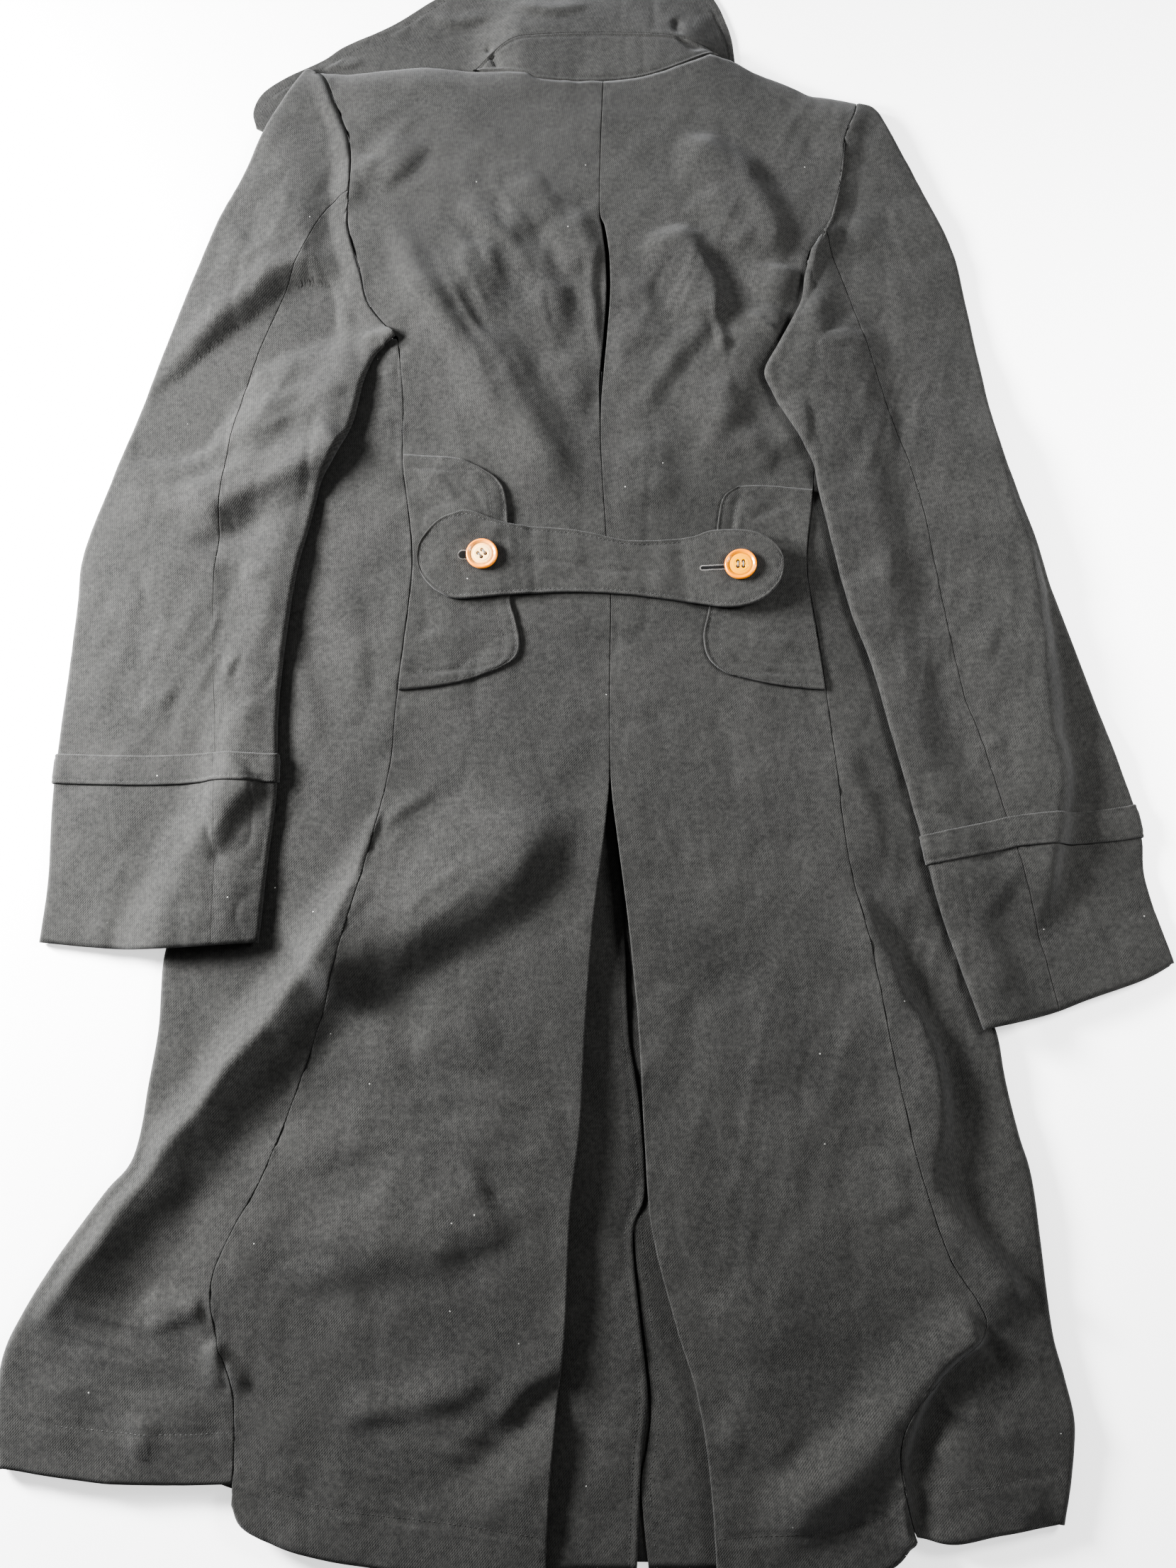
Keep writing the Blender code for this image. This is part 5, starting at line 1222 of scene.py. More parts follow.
# %% The upper face of a sleeve piece
def sleeve_face(side, turn, edge, head, foot, middle, along):
    """The grid from the seam that shows to the piece's own fold, the line that
    it has at the armhole, and how the fold turns: which way and how far."""
    inward = side_normals(edge) * turn
    table = np.array(SLEEVE_THICKNESS)
    reach = nose_reach(np.interp(along, table[:, 0], table[:, 1]) * FOLD_SHARE, 0)
    reach[0] = 0.6
    fold_line = edge + inward * reach[:, None]
    flat_seam = smooth((along - SEAM_SHOWS[side]) / SEAM_FADE)
    gap = SEAM / 2 * (1 - flat_seam)
    seam_line = middle - side_normals(middle) * turn * gap[:, None]
    seam_line[0] = head[1]
    fold_line[0] = head[-1] + (head[-7] - head[-1]) * 0.9
    head = np.vstack([seam_line[:1], head[2:-8], fold_line[:1]])
    foot[0], foot[-1] = seam_line[-1], fold_line[-1]
    shares = graded(SLEEVE_HALF, last=False)
    plan = coons(head, foot, seam_line, fold_line, shares)
    across, down = plan[..., 0], plan[..., 1]
    rows = np.repeat(along[:, None], len(shares), 1)
    z = sleeve_top(side, across, down, rows, (0.5 - 0.45 * shares)[None] + 0 * rows)
    from_seam, from_arm = column_distance(plan), row_distance(plan)
    from_end = row_distance(plan, True)
    calm = smooth(column_distance(plan, True) / 10)
    rim = seam_roll(from_seam) * (1 - flat_seam)[:, None]
    rim = rim + seam_roll(from_arm)
    rim = rim + fold_roll(from_end)
    z = z + (pucker(from_seam, across, down, 51) + pucker(from_arm, across, down, 53) - rim) * calm
    return np.dstack([plan, z + groove(from_end - HEM_DEPTH, 0.4) * calm]), head, inward, reach


print("a sleeve's end is", CUFF_WIDTH, "mm wide")

# %% Sleeve pieces
def sleeve_pieces(side, sign):
    """Outer grids of the top and the under sleeve: the upper face, half an
    ellipse over the fold, and a lower face as far as the hidden seam."""
    (left, middle, right), along = sleeve_lines(side)
    arm = spline(ARMHOLE[side], 600)
    arm = arm + side_normals(arm) * sign * SEAM
    split, stop = SLEEVE_SPLIT[side], SLEEVE_STOP[side]
    cuff = spline(CUFF_END[side], 300)
    cut = share_at(cuff, middle[-1])
    left[0], middle[0], right[0] = arm[0], resample(arm, [split])[0], resample(arm, [stop])[0]
    left[-1], middle[-1], right[-1] = cuff[0], resample(cuff, [cut])[0], cuff[-1]
    short = nose_reach(SLEEVE_THICKNESS[-1][1] * FOLD_SHARE, 0) / CUFF_WIDTH
    pieces = {}
    for name, turn, edge, head_to, cuff_to in (("top", -sign, left, 0.0, short),
                                               ("under", sign, right, stop, 1.0 - short)):
        head = resample(arm, np.linspace(split, head_to, 200))
        foot = resample(cuff, np.linspace(cut, cuff_to, 100))
        upper, head, inward, reach = sleeve_face(side, turn, edge, head, foot, middle, along)
        seam_line, fold_line, fold_z = upper[:, 0, :2], upper[:, -1, :2], upper[:, -1, 2]
        low_fold = sleeve_under(side, fold_line[:, 0], fold_line[:, 1])
        low_fold = np.minimum(low_fold, fold_z - 2 * CLOTH - FOLD_LEAST)
        bend = nose(edge, inward, reach, fold_z, low_fold)
        bow = 0.3 * np.sin(np.linspace(0, math.pi, NOSE + 1))[:, None]
        bend[0, :, :2] = fold_line[0] - inward[0] * bow
        hidden = (left + right) / 2
        hidden = hidden + (resample(arm, [split])[0] - hidden[0]) * (1 - along[:, None]) ** 3
        hidden = hidden - side_normals(hidden) * turn * SEAM / 2
        hidden[0] = seam_line[0]
        low_foot = np.vstack([fold_line[-1:], hidden[-1:]])
        inside = coons(head[::-1], low_foot, fold_line, hidden, np.linspace(0, 1, 13))[:, 1:]
        lower = np.dstack([inside, sleeve_under(side, inside[..., 0], inside[..., 1])])
        pieces[name] = np.concatenate([upper, bend[:, 1:], lower], axis=1)
    return pieces


sleeves = {}
for side, sign in SIDES.items():
    for name, outer in sleeve_pieces(side, sign).items():
        up = sign if name == "top" else -sign
        sleeves[name, side] = outer
        sew(f"{name}_sleeve_{side}", f"{name}_sleeve_cloth_{side}", outer, inner_layer(outer, up))

# %% [markdown]
# ## The cuff straps
#
# A strap runs round each sleeve above its end. It is a strip of the same cloth
# with a line of stitches along each edge, lying on the sleeve.

# %% Cuff bands
STITCH_INSET = 2.4  # from an edge to its line of stitches, on straps and tabs


def cuff_band(side, sign):
    """The strap from the sleeve's own rows, moved out along the normals. Its
    edges roll down and the stitch lines pull a small groove."""
    rows = slice(ROWS_ABOVE, ROWS_ABOVE + len(BAND_ROWS))
    first, second = sleeves["top", side][rows], sleeves["under", side][rows]
    half = NOSE // 2
    flat = graded(SLEEVE_HALF, last=False).size
    join = (first[:, :1] + second[:, :1]) / 2
    run = np.concatenate([first[:, flat + half:0:-1], join, second[:, 1:flat + half + 1]], axis=1)
    smoothed = run.copy()
    z = smoothed[..., 2]
    for _ in range(3):
        z[:, 1:-1] = (z[:, :-2] + 2 * z[:, 1:-1] + z[:, 2:]) / 4
    run[..., 2] = np.maximum(run[..., 2], smoothed[..., 2])
    normal = surface_normals(run) * -sign
    width = row_distance(run)[-1:]
    near = rim_distance(run)
    to_stitches = near - STITCH_INSET
    lift = CLOTH + 0.2 - edge_roll(near, 1.4, 0.7) + groove(to_stitches, 0.3, 0.8)
    lift = lift + pucker(np.abs(to_stitches), run[..., 0], run[..., 1], 57, 0.3)
    print("strap", side, "is", round(float(width.mean()), 1), "mm wide")
    return run + normal * lift[..., None], run + normal * 0.1


for side, sign in SIDES.items():
    grids["strap", side], inner = cuff_band(side, sign)
    sew("cuff_band_" + side, "cuff_strap_" + side, grids["strap", side], inner)

# %% [markdown]
# ## The collar
#
# The stand is a narrow band on the neck seam. The leaf is spread out past it
# with its edge on the table, and its left wing goes in under the shoulder.

# %% Collar leaf and stand
LEAF_TOP = 11.5
LEAF_FALLS = (-62.0, 58.0, 46.0)  # it starts to fall at these places, over this length
STAND_TIP = 1.2
TUCK_WIDTH, TUCK_DEPTH = 3.4, 1.7  # a strip that goes in under the next piece
LEAF_INSET, STAND_INSET = 7.0, 2.2  # from their edges to the lines of stitches
LEAF_FOLDS = [
    # Beside the neck, then the wings
    ([(-89, -38), (-83, -24), (-78, -10)], 3, 6, -2.4, .2, .1, .4),
    ([(57, -62), (56, -46), (64, -33), (77, -29)], 6, 6, -2, .2, .2, .2),
    ([(-158, -62), (-179, -50), (-205, -44)], 15, 7, 2.1, .3, .3, .2),
    ([(-177, -26), (-198, -21), (-224, -23)], 13, 7, 1.8, .3, .3, .3),
    ([(-82, -66), (-113, -60), (-134, -66)], 13, 7, 1.8, .3, .3, .2),
    ([(-6, -70), (-38, -64), (-69, -71)], 15, 7, 2.1, .3, .3, .2),
]
LEAF_WAVES = ((0.5, 30, 81), (0.34, 15, 82), (0.16, 7, 83))


def leaf_height(across):
    """Height of the leaf along the stand: level behind the neck, falling to
    the table on both sides, where it goes in under the shoulders."""
    left, right, run = LEAF_FALLS
    keep = smooth((across - left + run) / run) * smooth((right + run - across) / run)
    return CLOTH + (LEAF_TOP - CLOTH) * keep


print("the leaf behind the neck lies at", leaf_height(0.0), "mm")

# %% Collar pieces
def collar_leaf():
    """Outer grid from the outer edge to the stand, falling to the table."""
    shares = np.linspace(0, 1, 190)
    lower = resample(spline(LEAF_LOWER, 600), shares)
    outer_edge = resample(spline(LEAF_OUTER, 600), shares)
    mix = graded(80, 2.2)[:, None, None]
    plan = outer_edge[None] * (1 - mix) + lower[None] * mix
    start = leaf_height(lower[:, 0])[None]
    z = CLOTH + (start - CLOTH) * smooth(mix[..., 0] * 1.05 - 0.05)
    across, down = plan[..., 0], plan[..., 1]
    first = row_distance(plan)
    edge, to_stitches = rim_distance(plan), first - LEAF_INSET
    bumps = fold_heights(LEAF_FOLDS, across, down) + waviness(across, down, LEAF_WAVES)
    bumps = bumps * smooth(edge / 8) + pucker(np.abs(to_stitches), across, down, 85, 0.4)
    low = CLOTH + 0.2 - edge_roll(first, 1.6, 0.2)
    return np.dstack([plan, np.maximum(z + bumps + groove(to_stitches, 0.4), low)])


def collar_stand():
    """Outer grid from the leaf's lower edge to the neck seam."""
    edge = resample(spline(LEAF_LOWER, 600), np.linspace(0, 1, 400))
    line = spline(STAND_SEAM, 400)
    across = np.linspace(line[0, 0], line[-1, 0], 120)
    top = np.column_stack([across, np.interp(across, edge[:, 0], edge[:, 1]) + 2 * SEAM])
    seam = np.column_stack([across, np.interp(across, line[:, 0], line[:, 1])])
    seam[0, 1] = top[0, 1] + STAND_TIP
    mix = graded(36, 2.2)[:, None, None]
    plan = top[None] * (1 - mix) + seam[None] * mix
    neck = body_top(seam[:, 0], seam[:, 1] + 1.5)
    z = leaf_height(plan[..., 0]) * (1 - mix[..., 0]) + neck[None] * mix[..., 0]
    across, down = plan[..., 0], plan[..., 1]
    first, last = row_distance(plan), row_distance(plan, True)
    rows = groove(first - STAND_INSET, 0.35, 0.8) + groove(last - STAND_INSET, 0.35, 0.8)
    bumps = fold_heights(LEAF_FOLDS, across, down) * smooth(last / 5)
    waves = waviness(across, down + 400, LEAF_WAVES) * 0.7
    bumps = bumps + waves * smooth(np.minimum(first, last) / 4)
    return np.dstack([plan, z + rows + bumps - edge_roll(last, 1.4, 0.4)])


def sew_tucked(node, name, outer, turn):
    """The wall of a grid with a narrow strip added to its last row, which goes
    in under the next piece."""
    strip = [outer[-1:] + (0, step, -TUCK_DEPTH) for step in (0.4, TUCK_WIDTH)]
    outer = np.concatenate([outer, *strip])
    outer[-2:, :, 2] = np.maximum(outer[-2:, :, 2], CLOTH)
    sew(node, name, outer, outer - (0, 0, CLOTH), turn)


leaf, stand = collar_leaf(), collar_stand()
sew_tucked("collar_leaf", "collar_leaf_cloth", leaf, 30)
sew_tucked("collar_stand", "collar_stand_cloth", stand, 12)

# %% [markdown]
# ## Cloth behind the pleat and the vent
#
# Behind the slit between the shoulder blades lies a strip that lets the back
# spread. Below the waist each back panel has an extension that goes in under
# the other one's edge.

# %% Underlays
UNDERLAY_REACH = 27.0
UNDERLAY_ENDS = (530.0, 998.0)
UNDERLAY_TOP = {"left": 7.5, "right": 5.4}
UNDER_GAP = CLOTH + 1.5
UNDERLAY_LEAST = 4.8  # it lies on the two fronts
CRUMPLE, CRUMPLE_FROM = ((1.1, 15, 0.6, 91), (0.5, 8, 1, 92)), 20
VENT_INSET = 5.0  # from the free edge to its line of stitches
PLEAT_STRIP, PLEAT_MIDDLE, PLEAT_HALF = (94, 300), 2, 30
PLEAT_DIP, PLEAT_RUN = 4.2, 60


def lowest_back(across, down, reach=8.0):
    """The lowest height of the back's underside within reach."""
    low = body_top(across, down)
    for turn in np.linspace(0, 2 * math.pi, 8, endpoint=False):
        beside = body_top(across + reach * math.cos(turn), down + reach * math.sin(turn))
        low = np.minimum(low, beside)
    return low - UNDER_GAP


def vent_underlay(side, sign):
    """A strip from under its own panel out past the vent's edge, hanging from
    the panel and lying on the fronts beside it."""
    down = np.linspace(*UNDERLAY_ENDS, 120)
    panel, edge = spline(CENTRE_BACK[side], 400), spline(UNDERLAY_EDGE[side], 200)
    free = np.interp(down, edge[:, 1], edge[:, 0])
    root = np.interp(down, panel[:, 1], panel[:, 0]) + sign * UNDERLAY_REACH
    shares = graded(60, first=False)
    across = root[:, None] + (free - root)[:, None] * shares
    rows = down[:, None] + 0 * across
    under = lowest_back(across, rows)
    level = np.minimum(UNDERLAY_TOP[side] - LAY, under)
    from_root, from_free = (np.abs(across - line[:, None]) for line in (root, free))
    z = under + (level - under) * smooth(from_root / (UNDERLAY_REACH + 4))
    crumple = sum(height * ripple(across, rows * share, size, seed)
                  for height, size, share, seed in CRUMPLE) - 0.8
    z = z + crumple * smooth(from_root / CRUMPLE_FROM)
    z = z + groove(from_free - VENT_INSET, 0.4, 0.8) - edge_roll(from_free, 1.6, 0.7)
    return np.dstack([across, rows, np.maximum(z, UNDERLAY_LEAST)])


def pleat_underlay():
    """The strip behind the slit, hollow in its middle."""
    start, end = PLEAT_STRIP
    down = np.linspace(start, end, 70)[:, None]
    offset = np.linspace(-PLEAT_HALF, PLEAT_HALF, 25)[None]
    across, down = PLEAT_MIDDLE + offset + 0 * down, down + 0 * offset
    ends = smooth(np.minimum(down - start, end - down) / PLEAT_RUN)
    dip = PLEAT_DIP * (1 - smooth(np.abs(offset) / PLEAT_HALF)) * ends
    return np.dstack([across, down, lowest_back(across, down) - dip])


for side, sign in SIDES.items():
    grids["vent", side] = outer = vent_underlay(side, sign)
    sew("vent_underlay_" + side, "vent_extension_" + side, outer, outer - (0, 0, CLOTH))
outer = pleat_underlay()
sew("pleat_underlay", "pleat_strip", outer, outer - (0, 0, CLOTH))

# %% [markdown]
# ## Tabs and half belt
#
# Two tabs are sewn into the princess seams at the waist, and the half belt is
# buttoned onto them. It lies on the highest cloth below it, and its right end
# stands up.

# %% Sizes and folds of the tabs and the belt
TAB_LIFT, TAB_THICK = 0.6 + 1.6, 1.4  # top of a tab over the back
BELT_THICK, BELT_WALL = 2.2, 0.8  # the modelled wall is this share of it
BELT_INSET = 2.6  # from the belt's edge to its line of stitches
BELT_SPAN = (-9, -4, 0, 4, 9)  # it rests on the highest cloth this near
TAB_MARGIN = 3  # the belt already feels a tab this far from its edge
BELT_LIFT, BELT_LIFT_FROM = 7.0, (45.0, 75.0)
TAB_INNER_ROW = 11.0  # a second row of stitches holds the tab's facing
BELT_FOLDS = [
    # Along the belt and short ones across it
    ([(-70, 381), (-37, 380), (-8, 386), (12, 388), (52, 387)], 5, 3, -.9, .2, .3, .6),
    ([(20, 372), (30, 369), (33, 376), (35, 388)], 4, 2, -.8, .3, .3, .6),
    ([(-10, 389), (-2, 394)], 4, 3, -.6, .3, .3, .5),
    # Where it rises and falls
    ([(-46, 356), (-42, 380), (-44, 402)], 16, 10, .7, .2, .2, 0),
    ([(-6, 362), (-2, 382), (-8, 402)], 18, 14, -.7, .2, .2, 0),
    ([(38, 366), (44, 386), (40, 406)], 16, 12, .7, .2, .2, 0),
    # Round the two buttonholes
    ([(-86, 362), (-95, 367), (-103, 372), (-105, 379), (-101, 386), (-92, 391)],
     2, 2, -.5, .1, .1, .3),
    ([(-62, 350), (-74, 358), (-84, 364)], 8, 8, .8, .3, .3, .1),
    ([(70, 362), (78, 372), (84, 376)], 6, 5, -.6, .3, .3, .2),
    ([(56, 392), (68, 398), (84, 402)], 6, 5, .6, .3, .3, .2),
]
TAB_FOLDS = {
    "left": [
        ([(-132, 312), (-112, 322), (-98, 342)], 8, 6, 1.0, .3, .3, .2),
        ([(-100, 322), (-86, 336), (-80, 360)], 5, 4, -.7, .3, .3, .3),
        ([(-128, 440), (-110, 432), (-86, 436)], 8, 6, .9, .3, .3, .2),
        ([(-122, 458), (-100, 456), (-84, 446)], 4, 3, -.6, .3, .3, .3),
    ],
    "right": [
        ([(132, 338), (114, 342), (98, 352)], 7, 5, -.9, .3, .3, .2),
        ([(94, 340), (90, 360), (86, 380)], 4, 4, .8, .3, .3, .3),
        ([(92, 430), (108, 438), (130, 436)], 8, 6, .9, .3, .3, .2),
        ([(84, 446), (100, 456), (124, 460)], 4, 3, -.7, .3, .3, .3),
    ],
}
TRIM_WAVES = ((0.42, 24, 71), (0.24, 12, 72), (0.1, 6, 73))
print("folds of the belt:", len(BELT_FOLDS))

# %% Side tabs
def side_tab(side, sign):
    """A tab's outer grid on the back beside the princess seam."""
    seam = spline(PRINCESS[side], 400)
    upper, lower = spline(TAB_TOP[side], 100), spline(TAB_BOTTOM[side], 100)
    down = np.linspace(upper[0, 1], lower[0, 1], 100)
    edge = np.column_stack([np.interp(down, seam[:, 1], seam[:, 0]) - sign, down])
    free = resample(spline(TAB_FREE[side], 300), np.linspace(0, 1, 100))
    upper[0], upper[-1], lower[0], lower[-1] = edge[0], free[0], edge[-1], free[-1]
    plan = coons(upper, lower, edge, free, graded(65, 2.0))
    near = np.minimum(rim_distance(plan), column_distance(plan, True))
    across, down, to_stitches = plan[..., 0], plan[..., 1], near - STITCH_INSET
    z = body_top(across, down) + TAB_LIFT
    z = z - edge_roll(near, 1.0, 0.45) + groove(to_stitches, 0.36, 0.8)
    inner_row = groove(near - TAB_INNER_ROW, 0.3, 0.9)
    z = z + inner_row + fold_heights(TAB_FOLDS[side], across, down)
    z = z + waviness(across, down + 700, TRIM_WAVES) * smooth(near / 6)
    return np.dstack([plan, z + pucker(np.abs(to_stitches), across, down, 75, 0.22)])


for side, sign in SIDES.items():
    grids["tab", side] = outer = side_tab(side, sign)
    sew("side_tab_" + side, "side_tab_cloth_" + side, outer, outer - (0, 0, TAB_THICK))

# %% Half belt
def carrier_top(across, down):
    """The height that the belt rests on: the back, and a tab where there is one."""
    plain = height = body_top(across, down)
    for side, sign in SIDES.items():
        free = np.array(TAB_FREE[side], float)
        reach = np.interp(down, free[:, 1], free[:, 0])
        height = np.where((across - reach) * sign > -TAB_MARGIN, plain + TAB_LIFT, height)
    return height


def half_belt():
    """The belt's outer grid: rests on the highest cloth across its width and
    near each place along it."""
    shares = (1 - np.cos(np.linspace(0, math.pi, 140))) / 2
    upper = resample(spline(BELT_UPPER, 600), shares)
    lower = resample(spline(BELT_LOWER, 600), shares)
    mix = graded(50, 2.0)[:, None, None]
    plan = upper[None] * (1 - mix) + lower[None] * mix
    rest = carrier_top(plan[..., 0], plan[..., 1])
    ridge = rest.max(axis=0)
    places = plan[0, :, 0]
    ridge = np.max([np.interp(places + far, places, ridge) for far in BELT_SPAN], axis=0)
    rest = np.maximum(rest, ridge[None] - 0.6)
    near = rim_distance(plan)
    across, down, to_stitches = plan[..., 0], plan[..., 1], near - BELT_INSET
    lift = BELT_LIFT * smooth((across - BELT_LIFT_FROM[0]) / BELT_LIFT_FROM[1])
    z = rest + LAY + BELT_THICK + lift - edge_roll(near, 1.2, 0.6) + groove(to_stitches, 0.36, 0.8)
    own = fold_heights(BELT_FOLDS, across, down) + waviness(across, down + 900, TRIM_WAVES)
    z = z + own * smooth(near / 5) + pucker(np.abs(to_stitches), across, down, 77, 0.25)
    return np.dstack([plan, z])


belt = half_belt()
sew("half_belt", "half_belt_cloth", belt, belt - (0, 0, BELT_THICK * BELT_WALL))

# %% [markdown]
# ## Stitches
#
# The edges of the belt, tabs, straps, collar and hem are stitched in the coat's
# own dark thread. A stitch is a little capsule whose ends dive into the cloth.
# One template is carried to all places at once and joined into one mesh.

# %% Thread
def thread(name, dark, light):
    """Twisted thread: the mean of a fine and a broad noise chooses between two
    shades, and the fine one makes the bump."""
    mat, add, shader = start_material(name)
    spot = add("ShaderNodeTexCoord").outputs["Object"]
    fibre = noise(add, spot, 3800.0)
    mixed = times(add, plus(add, fibre, noise(add, spot, 160.0)), 0.5)
    colour = blend(add, remap(add, mixed, 0.35, 0.65), dark, light)
    return finish_material(mat, add, shader, colour, fibre, 0.5, 0.0001, {"Roughness": 0.62})


dark_thread = thread("charcoal thread", (0.012, 0.012, 0.012, 1), (0.045, 0.045, 0.043, 1))
grey_thread = thread("worn grey thread", (0.06, 0.058, 0.056, 1), (0.3, 0.29, 0.28, 1))

# %% Capsules along lines
STITCH_PITCH, STITCH_LENGTH, STITCH_THICK = 3.0, 2.3, 0.33
CAPSULE_ALONG = np.array([-0.5, -0.36, 0.0, 0.36, 0.5])
CAPSULE_SIZE = np.array([0.3, 0.85, 1.0, 0.85, 0.3])
CAPSULE_SIDES = 6


def tube_faces(rings, sides):
    """Four-sided faces of a tube with flat caps. A cap is cut into strips that
    run from one side of the ring to the other."""
    index = np.arange(rings * sides).reshape(rings, sides)
    ahead = np.roll(index, -1, axis=1)
    body = np.stack([index[:-1], ahead[:-1], ahead[1:], index[1:]], -1).reshape(-1, 4)
    j = np.arange(sides // 2 - 1)
    cap = np.column_stack([j, j + 1, sides - 2 - j, sides - 1 - j])
    return np.vstack([body, cap[:, ::-1], cap + (rings - 1) * sides])


def add_capsules(name, centres, ways, material, length, thick, dive=1.0):
    """One capsule at each centre, lying along its way. Ring sizes follow a
    fixed profile, and the height drops with the square of the distance from
    the middle, so that the ends dive into the cloth."""
    ways = ways / np.linalg.norm(ways, axis=1, keepdims=True)
    up = np.array([0, 0, 1.0]) - ways * ways[:, 2:]
    up /= np.linalg.norm(up, axis=1, keepdims=True)
    side = np.cross(up, ways)
    turn = np.linspace(0, 2 * math.pi, CAPSULE_SIDES, endpoint=False)
    size = CAPSULE_SIZE[:, None] * thick
    rise = size * np.sin(turn) - dive * thick * (2 * CAPSULE_ALONG[:, None]) ** 2
    along = (CAPSULE_ALONG * length)[None, :, None, None]
    points = (centres[:, None, None] + ways[:, None, None] * along
              + side[:, None, None] * (size * np.cos(turn))[None, ..., None]
              + up[:, None, None] * rise[None, ..., None])
    one = tube_faces(len(CAPSULE_ALONG), CAPSULE_SIDES)
    step = len(CAPSULE_ALONG) * CAPSULE_SIDES
    faces = (one[None] + np.arange(len(centres))[:, None, None] * step).reshape(-1, 4)
    obj = add_mesh(name, place(points.reshape(-1, 3)), faces, material)
    print(f"{name}: {len(centres)} capsules")
    return obj


def along_line(line, pitch):
    """Places along a line in space at the given pitch, and its direction there."""
    line = np.asarray(line, float)
    at = np.concatenate([[0], np.cumsum(np.linalg.norm(np.diff(line, axis=0), axis=1))])
    spots = np.arange(pitch / 2, at[-1], pitch)
    pick, ahead, behind = (
        np.column_stack([np.interp(spots + shift, at, line[:, k]) for k in range(3)])
        for shift in (0, pitch / 3, -pitch / 3))
    return pick, ahead - behind


print("faces of one capsule:", len(tube_faces(len(CAPSULE_ALONG), CAPSULE_SIDES)))

# %% Lines on a piece
def inset_line(grid, edge, inset):
    """The line on a grid at a distance from one of its four edges: in every
    row the points of the two columns around that distance are mixed."""
    turned = {"left": grid, "right": grid[:, ::-1], "top": grid.transpose(1, 0, 2),
              "bottom": grid[::-1].transpose(1, 0, 2)}[edge]
    distance = column_distance(turned)
    far = np.clip(np.argmax(distance > inset, axis=1), 1, None)
    rows = np.arange(len(turned))
    low, high = distance[rows, far - 1], distance[rows, far]
    share = ((inset - low) / np.maximum(high - low, 1e-6))[:, None]
    return turned[rows, far - 1] * (1 - share) + turned[rows, far] * share


def on_grid(grid, line):
    """A plan line lifted onto a grid: its height is the mean of the four
    nearest grid points, each weighed by one over its distance."""
    flat = grid.reshape(-1, 3)
    off = np.hypot(line[:, None, 0] - flat[None, :, 0], line[:, None, 1] - flat[None, :, 1])
    best = np.argsort(off, axis=1)[:, :4]
    weight = 1 / (np.take_along_axis(off, best, 1) + 0.05)
    height = (flat[best, 2] * weight).sum(1) / weight.sum(1)
    return np.column_stack([line, height])


def inside_line(line, inset, count=200):
    """A plan outline moved inwards by a distance, to the left of the way it runs."""
    line = resample(line, np.linspace(0, 1, count))
    return resample(line - side_normals(line) * inset, np.linspace(0, 1, count))


belt_outline = np.vstack([spline(BELT_LOWER, 300), spline(BELT_UPPER, 300)[::-1][1:]])
print("points round the belt:", len(belt_outline))

# %% Where the stitches run
THREAD_SINK = 0.12  # how far a stitch's middle lies under the cloth's face
runs = {"belt_stitches": [on_grid(belt, inside_line(belt_outline, -BELT_INSET, 420))]}
for side, sign in SIDES.items():
    tab, strap, back, low, vent = (grids[k, side] for k in ("tab", "strap", "back", "side", "vent"))
    free_outline = np.vstack([spline(TAB_TOP[side], 80), spline(TAB_FREE[side], 200)[1:],
                              spline(TAB_BOTTOM[side], 80)[::-1][1:]])
    runs["tab_stitches_" + side] = [on_grid(tab, inside_line(free_outline, -sign * inset)[6:-6])
                                    for inset in (STITCH_INSET, TAB_INNER_ROW)]
    runs["strap_stitches_" + side] = [inset_line(strap, edge, STITCH_INSET)[NOSE:-NOSE]
                                      for edge in ("top", "bottom")]
    runs["hem_stitches_" + side] = [inset_line(back, "bottom", HEM_DEPTH)[3:-3],
                                    inset_line(low, "bottom", HEM_DEPTH)[3:-6]]
    runs["vent_stitches_" + side] = [inset_line(vent, "right", VENT_INSET)]
runs["collar_stitches"] = [inset_line(leaf, "top", LEAF_INSET)[3:-3],
                           inset_line(stand, "bottom", STAND_INSET)[3:-3],
                           inset_line(stand, "top", STAND_INSET)[9:-3]]
trims = []
for name, lines in runs.items():
    found = [along_line(line, STITCH_PITCH) for line in lines]
    centres, ways = (np.vstack([f[k] for f in found]) for k in (0, 1))
    stitches = add_capsules(name, centres - (0, 0, THREAD_SINK), ways, dark_thread, STITCH_LENGTH,
                            STITCH_THICK)
    trims.append((stitches, "twill"))

# %% [markdown]
# ## Buttonholes
#
# The left buttonhole ends in a round eyelet beside its button, the right one is a slit. Both are
# overcast in a thread that has worn pale. Their dark inside is painted shade: a small flat lens of
# nearly black material set into the belt.

# %% Overcast edges and insides of painted shade
HOLES = {  # the round end's middle and radius, and the length to the right
    "left": ((-96.0, 377.0), 2.7, 6.0),
    "right": ((66.0, 386.6), 1.15, 18.0),
}
SATIN_LENGTH, SATIN_THICK, SATIN_PITCH, SATIN_STRAY = 1.05, 0.17, 0.42, 0.22


def slit_outline(end, radius, reach):
    """Half circle round the slit's end and two straight sides that run from it
    to the right, as one line."""
    turn = np.linspace(math.pi / 2, 3 * math.pi / 2, 40)
    arc = np.column_stack([end[0] + radius * np.cos(turn), end[1] + radius * np.sin(turn)])
    return np.vstack([[end[0] + reach, end[1] + radius], arc, [end[0] + reach, end[1] - radius]])


